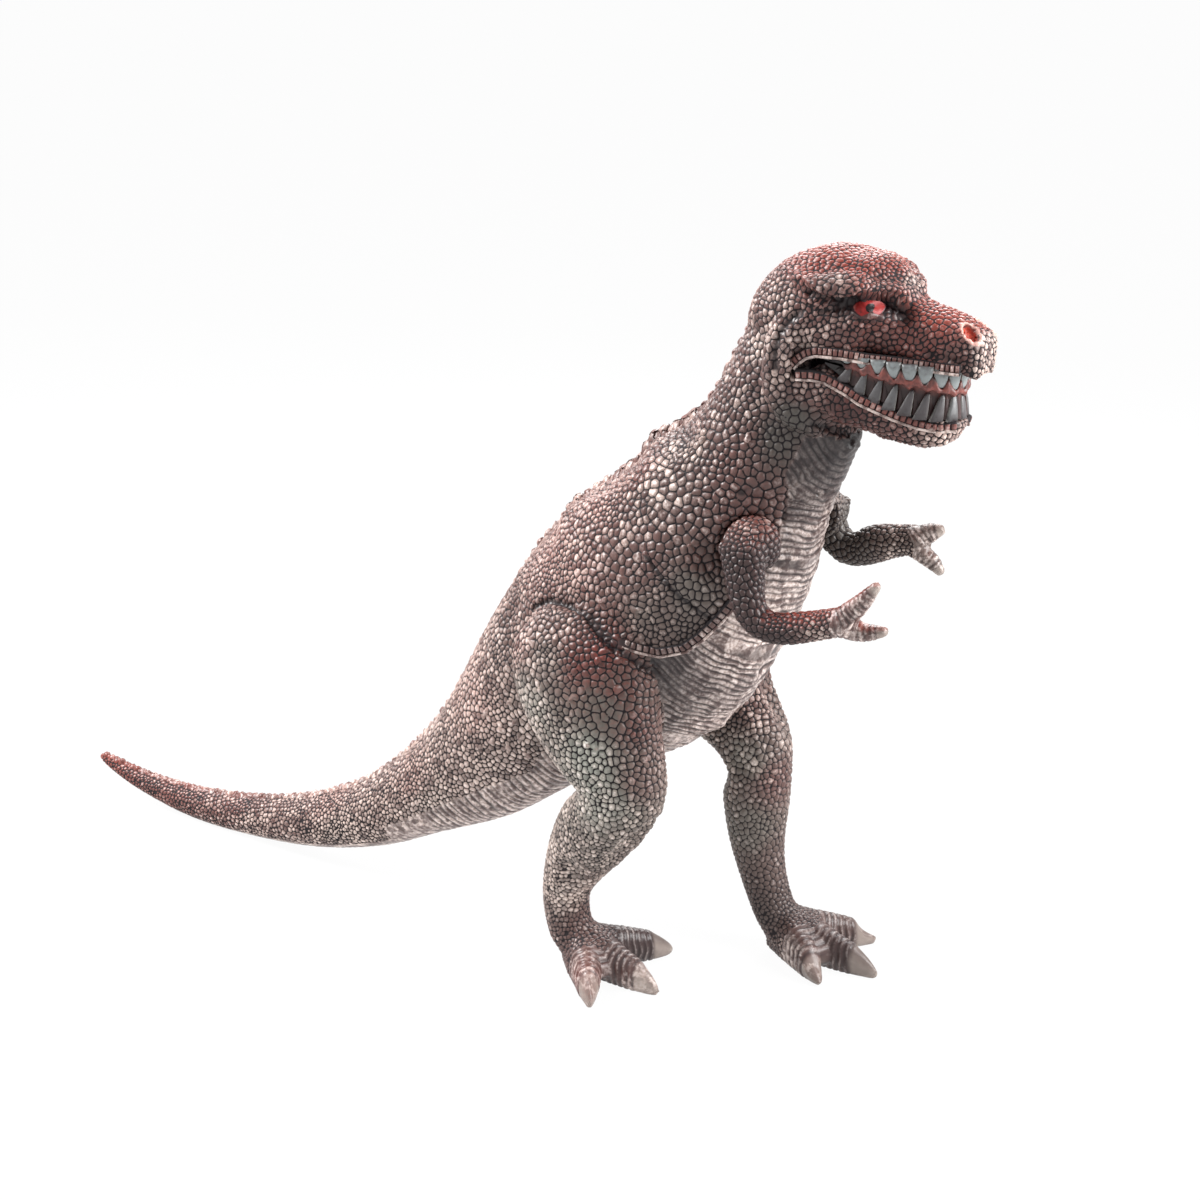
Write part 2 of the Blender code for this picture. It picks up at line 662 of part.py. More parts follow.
def teeth_row(name, outline, lip, bite, count, length, direction):
    """A gum wall that fills its half of the mouth, with a row of teeth round its outside."""
    half = [(NAPE.x + x * HEAD_LENGTH, y * GUM_HALF_WIDTH) for x, y in GUM_SHARES]
    plan = half + [(x, -y) for x, y in reversed(half)]
    gum = prism(name, grown(outline, -GAP), OVERRUN)
    wall = prism(f"{name}_wall", plan, LONG_OVERRUN)
    wall.data.transform(Matrix.Rotation(math.pi / 2, 4, "X"))
    wall.data.transform(Matrix.Translation((0, 0, NAPE.z)))
    combine(gum, "INTERSECT", wall)
    path = smooth_rows(half[1:], GUM_STEPS)
    lengths = [0.0]
    for (x0, y0), (x1, y1) in zip(path, path[1:]):
        lengths.append(lengths[-1] + math.hypot(x1 - x0, y1 - y0))
    for number in range(count):
        share = (number + FIRST_TOOTH_SHARE) / count
        wanted = length * min(1.0, SMALLEST_TOOTH_SHARE + TOOTH_GROWTH_SHARE * share)
        at = share * lengths[-1]
        index = next(i for i, value in enumerate(lengths) if value >= at or i == len(lengths) - 1)
        (x0, y0), (x1, y1) = path[index - 1], path[index]
        beside = [height_on(lip, x1 - TOOTH_HALF_WIDTH), height_on(lip, x1 + TOOTH_HALF_WIDTH)]
        base = max(beside) + TOOTH_ROOT_GAP if direction > 0 else min(beside) - TOOTH_ROOT_GAP
        room = abs(height_on(bite, x1) - base) - GAP
        reach = direction * min(wanted, room)
        for side in (-1, 1):
            outward = Vector((-(y1 - y0), x1 - x0, 0)).normalized()
            outward.y *= side
            place = Vector((x1, side * y1, base))
            peg = tooth(f"{name}_{number}_{side}", place, outward, reach, TOOTH_HALF_WIDTH)
            combine(gum, "UNION", peg)
    return gum


def build():
    skin_paint = painted("painted_skin", *COLOURS["skin"])
    belly_paint = painted("painted_belly", *COLOURS["belly"])
    gum_paint = painted("painted_gums", *COLOURS["gum"])
    eye_paint = painted("gloss_eye", *COLOURS["eye"])

    trunk = sections(smooth_rows(trunk_sections(), TRUNK_STEPS))
    tail_seam = (len(TAIL_SHARES) - 1) * TRUNK_STEPS
    neck_seam = (len(TAIL_SHARES) + NECK_SEAM_ROW) * TRUNK_STEPS

    tail = skin("tail", [ring(s, TRUNK_SIDES) for s in trunk[:tail_seam]] + [
        ring(trunk[tail_seam], TRUNK_SIDES, shift=-GAP)
    ])
    centre, _, _, forward, *_ = trunk[tail_seam]
    combine(tail, "DIFFERENCE", box(
        "tail_ground", (-TAIL_LENGTH * 2, -OVERRUN, -OVERRUN), (0, OVERRUN, 0)
    ))
    plug_start, plug_end = centre - forward * PLUG_LENGTH, centre + forward * PLUG_LENGTH
    combine(tail, "UNION", plug("tail_plug", plug_start, plug_end, TAIL_PLUG_RADIUS))
    tail_socket = plug("tail_socket", plug_start, plug_end + forward * GAP, TAIL_PLUG_RADIUS + GAP)

    torso = trunk[tail_seam:neck_seam + 1]
    body = skin("body", [ring(s, TRUNK_SIDES) for s in torso])
    core = skin("body_core", [ring(s, TRUNK_SIDES, share=PANEL_CORE_SHARE) for s in torso])
    edge = panel_edge(trunk[len(TAIL_SHARES) * TRUNK_STEPS:])
    panel_bay = combine(prism("panel_bay", grown(edge, GAP), LONG_OVERRUN), "DIFFERENCE", core)
    combine(body, "DIFFERENCE", panel_bay, tail_socket)

    fine = smooth_rows([(*s[0], *s[4:7]) for s in torso[PANEL_START:]], PANEL_STEPS)
    ribbed = []
    for index, row in enumerate(fine):
        wave = abs(math.sin(math.pi * RIB_COUNT * index / (len(fine) - 1)))
        ribbed.append((*row[:3], row[3], row[4], row[5] + RIB_HEIGHT * (wave - 1)))
    panel = skin("belly_panel", [ring(s, TRUNK_SIDES) for s in sections(ribbed)])
    core_gap = skin("body_core_gap", [
        ring(s, TRUNK_SIDES, share=PANEL_CORE_SHARE, grow=GAP) for s in trunk[tail_seam:neck_seam + 2]
    ])
    combine(panel, "INTERSECT", prism("panel_outline", edge, LONG_OVERRUN))
    combine(panel, "DIFFERENCE", core_gap)

    centre, _, _, forward, *_ = trunk[neck_seam]
    head = head_loft("head", HEAD_SHARES)
    combine(head, "UNION", skin("neck_stub", [ring(s, TRUNK_SIDES) for s in trunk[neck_seam:]]))
    jaw_bay = side_line(UPPER_LIP_SHARES) + side_line(CHIN_SHARES) + side_line(reversed(CREASE_SHARES))
    for side, word in ((-1, "right"), (1, "left")):
        rolls = (("cheek", CHEEK_SHARES, CHEEK_RADIUS), ("brow", BROW_SHARES, BROW_RADIUS))
        for roll, shares, radius in rolls:
            combine(head, "UNION", loft(f"{word}_{roll}", [
                (*head_point(x, y, z, side), *(r * radius,) * 3) for x, y, z, r in shares
            ], LIMB_STEPS, TOE_SIDES))
    neck_room = skin("neck_room", [
        ring(s, TRUNK_SIDES, grow=GAP) for s in trunk[neck_seam - TRUNK_STEPS * 2:neck_seam]
    ] + [ring(trunk[neck_seam], TRUNK_SIDES, grow=GAP, shift=GAP)])
    combine(head, "DIFFERENCE", prism("jaw_bay", jaw_bay, OVERRUN), neck_room)
    plug_start, plug_end = centre - forward * PLUG_LENGTH, centre + forward * PLUG_LENGTH
    combine(head, "UNION", plug("neck_plug", plug_start, plug_end, NECK_PLUG_RADIUS))
    neck_socket = plug("neck_socket", plug_start - forward * GAP, plug_end, NECK_PLUG_RADIUS + GAP)
    combine(body, "DIFFERENCE", neck_socket)

    eyes = []
    for side, word in ((-1, "right"), (1, "left")):
        place = head_point(*EYE_PLACE_SHARES, side)
        socket = ball(f"{word}_eye_socket", place, [size + GAP for size in EYE_SIZE])
        nostril = ball(f"{word}_nostril", head_point(*NOSTRIL_PLACE_SHARES, side), NOSTRIL_SIZE)
        combine(head, "DIFFERENCE", socket, nostril)
        eyes.append(ball(f"{word}_eye", place, EYE_SIZE))

    jaw = head_loft("lower_jaw", JAW_SHARES)
    jaw_outline = side_line(LOWER_LIP_SHARES) + side_line(CHIN_SHARES) + side_line(reversed(CREASE_SHARES))
    combine(jaw, "INTERSECT", prism("jaw_outline", grown(jaw_outline, -GAP), OVERRUN))

    upper = teeth_row(
        "upper_teeth", side_line(UPPER_LIP_SHARES[1:] + tuple(reversed(BITE_SHARES))),
        side_line(UPPER_LIP_SHARES), side_line(BITE_SHARES), UPPER_TEETH_A_SIDE, UPPER_TOOTH_LENGTH, -1,
    )
    lower = teeth_row(
        "lower_teeth", side_line(BITE_SHARES + tuple(reversed(LOWER_LIP_SHARES))),
        side_line(LOWER_LIP_SHARES), side_line(BITE_SHARES), LOWER_TEETH_A_SIDE, LOWER_TOOTH_LENGTH, 1,
    )

    right_leg, right_seat = leg("right_leg", RIGHT_LEG_SHARES, RIGHT_TOE_SHARES, -1)
    left_leg, left_seat = leg("left_leg", LEFT_LEG_SHARES, LEFT_TOE_SHARES, 1)
    right_arm, right_shoulder = arm("right_arm", RIGHT_ARM_SHARES, RIGHT_FINGER_SHARES, -1)
    left_arm, left_shoulder = arm("left_arm", LEFT_ARM_SHARES, LEFT_FINGER_SHARES, 1)
    for seat in (right_seat, left_seat, right_shoulder, left_shoulder):
        combine(body, "DIFFERENCE", *seat)
    combine(panel, "DIFFERENCE", right_seat[0], left_seat[0])

    for item in (body, tail, head, jaw, right_leg, left_leg, right_arm, left_arm):
        finish(item, skin_paint)
    finish(panel, belly_paint)
    for item in (upper, lower):
        finish(item, gum_paint)
    for item in eyes:
        finish(item, eye_paint)


def centre_figure():
    """Moves the stand so that the middle of the figure's bounds is over the origin."""
    bpy.context.view_layer.update()
    graph = bpy.context.evaluated_depsgraph_get()
    corners = [
        item.matrix_world @ Vector(corner)
        for item in PARTS.objects if item.type == "MESH"
        for corner in item.evaluated_get(graph).bound_box
    ]
    for axis in (0, 1):
        values = [corner[axis] for corner in corners]
        STAND.location[axis] = -(min(values) + max(values)) / 2


clear_scene()
PARTS = collection("tyrannosaur_figure")
CUTTERS = collection("cutters")
STAND = bpy.data.objects.new("stand", None)
PARTS.objects.link(STAND)
NAPE = Vector((TORSO_LENGTH * NAPE_SHARE, 0, HIP_HEIGHT + TORSO_HEIGHT))
build()
centre_figure()
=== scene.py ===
import json
import math

import bpy
import numpy as np
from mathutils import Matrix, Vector
from mathutils.bvhtree import BVHTree
from mathutils.kdtree import KDTree

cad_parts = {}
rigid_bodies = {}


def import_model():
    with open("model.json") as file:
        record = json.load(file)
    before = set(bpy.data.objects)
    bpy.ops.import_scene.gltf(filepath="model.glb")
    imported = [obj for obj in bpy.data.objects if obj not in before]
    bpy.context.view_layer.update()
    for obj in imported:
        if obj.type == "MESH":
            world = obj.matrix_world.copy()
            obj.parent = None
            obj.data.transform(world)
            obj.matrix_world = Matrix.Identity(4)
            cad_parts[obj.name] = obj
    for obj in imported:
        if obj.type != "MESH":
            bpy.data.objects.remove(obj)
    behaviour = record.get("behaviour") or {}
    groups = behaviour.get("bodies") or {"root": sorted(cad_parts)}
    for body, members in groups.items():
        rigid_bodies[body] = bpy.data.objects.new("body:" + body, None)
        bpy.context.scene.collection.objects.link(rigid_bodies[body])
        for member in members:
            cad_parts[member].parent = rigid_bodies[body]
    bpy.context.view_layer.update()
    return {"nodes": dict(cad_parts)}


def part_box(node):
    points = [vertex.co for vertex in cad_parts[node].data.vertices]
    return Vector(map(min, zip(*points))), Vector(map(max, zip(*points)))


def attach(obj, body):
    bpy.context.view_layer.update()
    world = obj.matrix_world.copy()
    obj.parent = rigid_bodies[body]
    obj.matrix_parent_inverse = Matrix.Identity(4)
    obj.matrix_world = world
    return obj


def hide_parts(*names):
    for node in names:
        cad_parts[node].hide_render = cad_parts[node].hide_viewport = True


# The stand-in figure
# The rigid model of the toy: its pieces stay where they are, and the painted skin, the teeth
# and the eyes below are laid over them.
for leftover in list(bpy.data.objects):
    bpy.data.objects.remove(leftover)

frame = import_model()
MM = 0.001
scene = bpy.context.scene


# The camera
# A long lens a little over half a metre off, above the figure's right shoulder. The same
# place serves to put creases and paint on the skin by where they are seen.
TURN, RISE = math.radians(33.0), math.radians(19.0)
STAND_OFF = 637.7 * MM
LENS, FILM = 70.0, 36.0
PICTURE = 1200
head_low, head_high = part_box("head")
MIDDLE = (head_low.y + head_high.y) / 2
AIM = Vector((48.18 * MM, MIDDLE - 8.07 * MM, 107.5 * MM))

away = Vector((math.sin(TURN) * math.cos(RISE), -math.cos(TURN) * math.cos(RISE), math.sin(RISE)))
camera_data = bpy.data.cameras.new("camera")
camera_data.lens, camera_data.sensor_width = LENS, FILM
camera = bpy.data.objects.new("camera", camera_data)
camera.location = AIM + away * STAND_OFF
camera.rotation_euler = (-away).to_track_quat("-Z", "Y").to_euler()
scene.collection.objects.link(camera)
scene.camera = camera
RIGHTWARD = (-away).cross(Vector((0, 0, 1))).normalized()
UPWARD = RIGHTWARD.cross(-away).normalized()


def sight(u, v):
    """The direction in which the camera sees this point of the picture."""
    reach = LENS / FILM * PICTURE
    middle = PICTURE / 2
    return (-away + RIGHTWARD * ((u - middle) / reach) - UPWARD * ((v - middle) / reach)).normalized()


# Lamps and floor
# A soft lamp up on the tail's side, a weaker one beyond the snout and one behind, a pale room,
# and a pale floor that whitens towards the camera but keeps the figure's shadow.
class Field:
    """A socket of a paint. Sums and products of fields and numbers add their Math nodes."""

    def __init__(self, tree, socket=None):
        self.tree, self.socket = tree, socket

    def node(self, kind, settings=None, sockets=None, output=0):
        """Adds a node: its settings first, then the values or fields of its sockets."""
        added = self.tree.nodes.new(kind)
        for name, value in (settings or {}).items():
            setattr(added, name, value)
        for name, value in (sockets or {}).items():
            if isinstance(value, Field):
                self.tree.links.new(value.socket, added.inputs[name])
            else:
                added.inputs[name].default_value = value
        return Field(self.tree, added.outputs[output])

    def also(self, output):
        """Another output of the same node."""
        return Field(self.tree, self.socket.node.outputs[output])

    def into(self, node, name):
        """Leads the field into a socket of a node."""
        self.tree.links.new(self.socket, node.inputs[name])

    def maths(self, operation, *values):
        """A Math node on these values, or on the field alone."""
        return self.node("ShaderNodeMath", {"operation": operation}, dict(enumerate(values or (self,))))

    def __add__(self, other):
        return self.maths("ADD", self, other)

    __radd__ = __add__

    def __mul__(self, other):
        return self.maths("MULTIPLY", self, other)

    __rmul__ = __mul__

    def __sub__(self, other):
        return self.maths("SUBTRACT", self, other)

    def __rsub__(self, other):
        return self.maths("SUBTRACT", other, self)

    def between(self, low, high):
        """0 below low and 1 above high, with a soft change between them."""
        settings = {"interpolation_type": "SMOOTHSTEP"}
        sockets = {"Value": self, "From Min": low, "From Max": high}
        return self.node("ShaderNodeMapRange", settings, sockets)

    def over(self, under, colour):
        """The colour laid over another by this much."""
        settings = {"data_type": "RGBA", "clamp_factor": True}
        return self.node("ShaderNodeMix", settings, {0: self, 6: under, 7: colour}, 2)


def rgb(red, green, blue):
    """A colour as it looks on a screen, 0 to 255, in the shader's own light values."""
    shares = [value / 255 for value in (red, green, blue)]
    linear = [s / 12.92 if s <= 0.04045 else ((s + 0.055) / 1.055) ** 2.4 for s in shares]
    return (*linear, 1.0)


def paint(name):
    """A new material, its shader tree as an empty field, and its surface."""
    made = bpy.data.materials.new(name)
    made.use_nodes = True
    return made, Field(made.node_tree), made.node_tree.nodes["Principled BSDF"]


def looked_at(tree):
    """1 for the rays that carry the picture, whether straight, by a gloss or through glass."""
    rays = tree.node("ShaderNodeLightPath")
    return rays.also("Is Camera Ray") + rays.also("Is Glossy Ray") + rays.also("Is Transmission Ray")


WHITE = rgb(255, 255, 255)
FLOOR_WIDTH = 14.0
FLOOR_COLOUR = rgb(238, 238, 238)
FLOOR_ROUGHNESS = 0.9
FLOOR_WHITENING = 0.96

corners = [(-1, -1, 0), (1, -1, 0), (1, 1, 0), (-1, 1, 0)]
floor_mesh = bpy.data.meshes.new("floor")
floor_mesh.from_pydata([Vector(c) * FLOOR_WIDTH / 2 for c in corners], [], [(0, 1, 2, 3)])
floor = bpy.data.objects.new("floor", floor_mesh)
scene.collection.objects.link(floor)

floor_paint, tree, surface = paint("floor_paint")
surface.inputs["Base Color"].default_value = FLOOR_COLOUR
surface.inputs["Roughness"].default_value = FLOOR_ROUGHNESS
white = tree.node("ShaderNodeEmission", None, {"Color": WHITE, "Strength": 1.0})
sockets = {0: looked_at(tree) * FLOOR_WHITENING, 1: Field(tree.tree, surface.outputs[0]), 2: white}
shown = tree.node("ShaderNodeMixShader", None, sockets)
shown.into(floor_paint.node_tree.nodes["Material Output"], "Surface")
floor_mesh.materials.append(floor_paint)

ROOM_COLOUR = rgb(244, 246, 250)
ROOM_STRENGTH = 0.38
room = bpy.data.worlds.new("room")
room.use_nodes = True
scene.world = room
tree = Field(room.node_tree)
glow = tree.node("ShaderNodeBackground", None, {"Color": ROOM_COLOUR, "Strength": ROOM_STRENGTH})
blank = tree.node("ShaderNodeBackground", None, {"Color": WHITE, "Strength": 1.0})
shown = tree.node("ShaderNodeMixShader", None, {0: looked_at(tree), 1: glow, 2: blank})
shown.into(room.node_tree.nodes["World Output"], "Surface")

scene.view_settings.view_transform = "Standard"

# each lamp's place and width in mm and its strength in watts
LAMPS = {
    "key": ((-400, -190, 560), 300, 9.5),
    "side": ((480, 120, 330), 360, 4.5),
    "back": ((-120, 420, 460), 420, 3.5),
}
for name, (place, width, watts) in LAMPS.items():
    lamp_data = bpy.data.lights.new(name, "AREA")
    lamp_data.shape, lamp_data.size, lamp_data.energy = "DISK", width * MM, watts
    lamp = bpy.data.objects.new(name, lamp_data)
    lamp.location = Vector(place) * MM
    lamp.rotation_euler = (AIM - lamp.location).to_track_quat("-Z", "Y").to_euler()
    scene.collection.objects.link(lamp)


# The skin's form
# The figure is moulded vinyl with no seam at neck, hips or tail root, so the rigid pieces
# under it are cast into one shell of small even squares, which is eased round.
SQUARE = 1.0 * MM
SWELL = 0.17 * MM
# how far a point is drawn to the middle of its neighbours, and then pushed back
EASE, EASE_BACK = 0.50, -0.52
EASING = {"body": 1.0, "tail": 1.0, "belly_panel": 1.0, "right_leg": 0.8, "left_leg": 0.8,
          "right_arm": 0.7, "left_arm": 0.7, "head": 0.25, "lower_jaw": 0.25,
          "right_eye": 0.25, "left_eye": 0.25}
EASING_ROUNDS = 40


def points_of(mesh):
    flat = np.empty(len(mesh.vertices) * 3)
    mesh.vertices.foreach_get("co", flat)
    return flat.reshape(-1, 3)


def squares_of(mesh):
    """The four corners of each face of a mesh that is all squares."""
    flat = np.empty(len(mesh.loops), dtype=int)
    mesh.loops.foreach_get("vertex_index", flat)
    return flat.reshape(-1, 4)


def plain_mesh(name, points, faces):
    mesh = bpy.data.meshes.new(name)
    mesh.from_pydata(points, [], faces)
    return mesh


def reworked(mesh, kind, settings):
    """The mesh after one of the program's own tools has gone over it."""
    carrier = bpy.data.objects.new(mesh.name, mesh)
    scene.collection.objects.link(carrier)
    tool = carrier.modifiers.new(kind, kind)
    for name, value in settings.items():
        setattr(tool, name, value)
    graph = bpy.context.evaluated_depsgraph_get()
    done = bpy.data.meshes.new_from_object(carrier.evaluated_get(graph))
    bpy.data.objects.remove(carrier)
    return done


def facing(points, squares):
    """Each point's outward direction, from the squares round it."""
    across = points[squares[:, 2]] - points[squares[:, 0]]
    along = points[squares[:, 3]] - points[squares[:, 1]]
    flat = np.cross(across, along)
    out = np.zeros_like(points)
    for corner in range(4):
        for axis in range(3):
            out[:, axis] += np.bincount(squares[:, corner], flat[:, axis], len(points))
    return out / np.maximum(np.linalg.norm(out, axis=1, keepdims=True), 1e-12)


def sides_of(squares):
    pairs = np.concatenate([squares[:, [a, (a + 1) % 4]] for a in range(4)])
    pairs = pairs[pairs[:, 0] != pairs[:, 1]]
    return np.unique(np.sort(pairs, axis=1), axis=0)


def outer_shell(points, squares):
    """Only the largest closed shell, without the small bubbles left between pieces."""
    sides = sides_of(squares)
    group = np.arange(len(points))
    while True:
        lowest = np.minimum(group[sides[:, 0]], group[sides[:, 1]])
        joined = group.copy()
        np.minimum.at(joined, sides[:, 0], lowest)
        np.minimum.at(joined, sides[:, 1], lowest)
        joined = joined[joined]
        if np.array_equal(joined, group):
            break
        group = joined
    names, counts = np.unique(group, return_counts=True)
    kept = group == names[counts.argmax()]
    renumbered = np.cumsum(kept) - 1
    return points[kept], renumbered[squares[kept[squares[:, 0]]]]


def off_neighbours(points, sides):
    """How far the middle of its neighbours lies from each point."""
    around = np.zeros_like(points)
    for axis in range(3):
        column = points[:, axis]
        around[:, axis] += np.bincount(sides[:, 0], column[sides[:, 1]], len(points))
        around[:, axis] += np.bincount(sides[:, 1], column[sides[:, 0]], len(points))
    return around / np.bincount(sides.ravel(), minlength=len(points))[:, None] - points


def eased(points, squares, strength):
    """Rounds off the flat facets without letting the form shrink."""
    sides = sides_of(squares)
    for step in range(EASING_ROUNDS):
        pull = EASE if step % 2 == 0 else EASE_BACK
        points = points + pull * strength[:, None] * off_neighbours(points, sides)
    return points


def cast(names, square):
    """One shell over the named pieces: its points, its squares and each point's piece."""
    points, squares, trees = [], [], []
    start = 0
    for name in names:
        mesh = frame["nodes"][name].data
        place = points_of(mesh)
        faces = [tuple(p.vertices) for p in mesh.polygons]
        trees.append(BVHTree.FromPolygons(place.tolist(), faces))
        normal = np.array([v.normal for v in mesh.vertices])
        points.append(place + normal * SWELL)
        squares += [tuple(corner + start for corner in face) for face in faces]
        start += len(place)
    joined = plain_mesh("cast", np.concatenate(points).tolist(), squares)
    shell = reworked(joined, "REMESH", {"mode": "VOXEL", "voxel_size": square})
    points, squares = outer_shell(points_of(shell), squares_of(shell))
    gaps = np.array([[tree.find_nearest(p)[3] for tree in trees] for p in points.tolist()])
    owner = gaps.argmin(axis=1)
    strength = np.array([EASING[name] for name in names])[owner]
    points = eased(points, squares, strength)
    surface = BVHTree.FromPolygons(points.tolist(), squares.tolist())
    finer = reworked(plain_mesh("shell", points.tolist(), squares.tolist()), "SUBSURF", {"levels": 1})
    points, squares = points_of(finer), squares_of(finer)
    spread = np.full(len(points), -1)
    spread[: len(owner)] = owner
    while (spread < 0).any():
        for corner in range(4):
            here, before = squares[:, corner], squares[:, corner - 1]
            spread[here] = np.maximum(spread[here], spread[before])
    return points, squares, spread, surface


class Skin:
    """A shell while it is sculpted: its form, and what the paint has to know at each point."""

    def __init__(self, names, square):
        self.names = names
        self.points, self.squares, self.owner, self.surface = cast(names, square)
        self.outward = facing(self.points, self.squares)
        self.marks = {mark: np.zeros(len(self.points)) for mark in MARKS}
        self.marks["edge"] += 1.0
        self.smooth = np.zeros(len(self.points))

    def turned(self):
        """Finds again which way each point faces."""
        self.outward = facing(self.points, self.squares)

    def settle(self):
        """Looks at the form again after it was changed."""
        self.turned()
        self.surface = BVHTree.FromPolygons(self.points.tolist(), self.squares.tolist())

    def mark(self, name, value, near=slice(None)):
        """Raises a mark to at least this value."""
        self.marks[name][near] = np.maximum(self.marks[name][near], value)

    def bare(self, share, near=slice(None)):
        """Keeps places free of scales, from 0 to 1."""
        self.smooth[near] = np.maximum(self.smooth[near], share)


# What the paint knows at each point. edge: 0 in a groove and 1 on a scale. tone: one value a
# scale. shade: where painted shade and the dark wash stand. Then how red, mossy, pale, horny, raw
# or pink the skin is. fold: where ribs or folds run, with painted shade in their valleys and a
# painted highlight on their crowns, and step: their count on the way.
MARKS = ("edge", "tone", "shade", "red", "moss", "pale", "horn", "raw", "pink", "fold", "step")
SKIN = ("body", "belly_panel", "tail", "head", "lower_jaw", "right_leg", "left_leg",
        "right_eye", "left_eye")
skin = Skin(SKIN, SQUARE)


# The big folds
# The sculptor's strokes, pressed into the clay or laid on it before the scales: brow, cheek,
# lips, the mould's seam, the thigh's edge. Each is where it is seen, and what lies on the head
# and trunk is repeated on the other side.
def seen(u, v, tree):
    """The point of a surface that shows at this place of the picture, or the nearest to it."""
    ray = sight(u, v)
    hit = tree.ray_cast(camera.location, ray)[0]
    if hit is None:
        hit = tree.find_nearest(camera.location + ray * STAND_OFF)[0]
    return np.array(hit)


# the length of the short steps in which a line is followed, in points of the picture
STEP = 3.0


def followed(pixels):
    """The places on the way through these places of the picture, in short steps."""
    places = []
    for (u, v), (next_u, next_v) in zip(pixels, pixels[1:]):
        steps = max(1, round(math.hypot(next_u - u, next_v - v) / STEP))
        shares = [step / steps for step in range(steps)]
        places += [(u + (next_u - u) * share, v + (next_v - v) * share) for share in shares]
    return places + [pixels[-1]]


def line_on(pixels, tree):
    """A line on a surface through these places of the picture."""
    return np.array([seen(u, v, tree) for u, v in followed(pixels)])


def other_side(line):
    mirrored = line.copy()
    mirrored[:, 1] = 2 * MIDDLE - mirrored[:, 1]
    return mirrored


def on_both(line):
    """A line, or a list of places, and the same on the other side."""
    return line, other_side(line)


def measured(points, line, reach):
    """How far each point is from a line, and how far along it, for the points within reach."""
    low, high = line.min(axis=0) - reach, line.max(axis=0) + reach
    near = np.flatnonzero(np.all((points > low) & (points < high), axis=1))
    best = np.full(len(near), np.inf)
    along = np.zeros(len(near))
    side = np.zeros((len(near), 3))
    passed = 0.0
    for start, end in zip(line, line[1:]):
        span = end - start
        length = max(np.linalg.norm(span), 1e-9)
        offset = points[near] - start
        share = np.clip(offset @ span / length**2, 0, 1)
        apart = offset - share[:, None] * span
        gap = np.linalg.norm(apart, axis=1)
        closer = gap < best
        best[closer] = gap[closer]
        along[closer] = passed + share[closer] * length
        side[closer] = apart[closer]
        passed += length
    within = best < reach
    return near[within], best[within], along[within], side[within]


def softly(share):
    """From 0 to 1 with level ends."""
    share = np.clip(share, 0, 1)
    return share * share * (3 - 2 * share)


# How the modelled form departs from the plain one: a place in the picture, where it is drawn
# to, and how far round it the clay follows, in mm.
HEAD_MOVES = (
    (921, 270, 912, 271, 7), (923, 283, 917, 284, 6), (910, 261, 905, 262, 6),
    (871, 245, 870, 249, 8), (754, 294, 757, 296, 8), (724, 367, 735, 371, 11),
    (957, 439, 955, 436, 5), (844, 505, 835, 508, 9),
)
LIP_MOVES = (
    (866, 359, 866, 362, 4), (890, 361, 890, 365, 4), (920, 364, 920, 369.5, 4),
    (950, 368, 950, 373.5, 4), (972, 373, 973, 378, 4), (838, 391, 838, 387, 5),
    (862, 405, 862, 399, 5), (890, 416, 890, 410, 5), (920, 426, 920, 420, 5),
    (948, 429, 948, 424, 5),
)
BODY_MOVES = (
    (612, 459, 619, 466, 14), (638, 440, 646, 454, 14), (664, 426, 667, 433, 12),
    (585, 482, 588, 485, 12), (540, 545, 543, 547, 14), (496, 608, 500, 610, 14),
    (482, 634, 486.5, 636, 12),
)
LEG_MOVES = (
    (638, 846, 627, 836, 8), (651, 832, 643, 825, 7), (623, 858, 618, 851, 7), (547, 923, 559, 921, 8),
    (777, 685, 760, 689, 9), (783, 704, 769, 708, 8), (772, 662, 763, 663, 8), (787, 719, 781, 721, 7),
    (719, 758, 731, 754, 8), (722, 770, 731, 768, 7), (819, 909, 816, 922, 7), (845, 915, 844, 922, 6),
    (868, 925, 863, 932, 5), (599, 985, 592, 981, 4),
)


def drawn(shell, moves, repeated):
    """Draws places of the shell to where the picture has them."""
    total = np.zeros_like(shell.points)
    weights = np.zeros(len(shell.points))
    for u, v, new_u, new_v, reach in moves:
        here = seen(u, v, shell.surface)
        depth = (Vector(here) - camera.location).length
        shift = np.array((sight(new_u, new_v) - sight(u, v)) * depth)
        for way in (1, -1) if repeated else (1,):
            place = here if way == 1 else other_side(here[None])[0]
            weight = softly(1 - np.linalg.norm(shell.points - place, axis=1) / (reach * MM))
            total += weight[:, None] * shift * (1, way, 1)
            weights += weight
    shell.points = shell.points + total / np.maximum(weights, 1)[:, None]
    shell.points[:, 2] = np.maximum(shell.points[:, 2], 0)
    shell.settle()
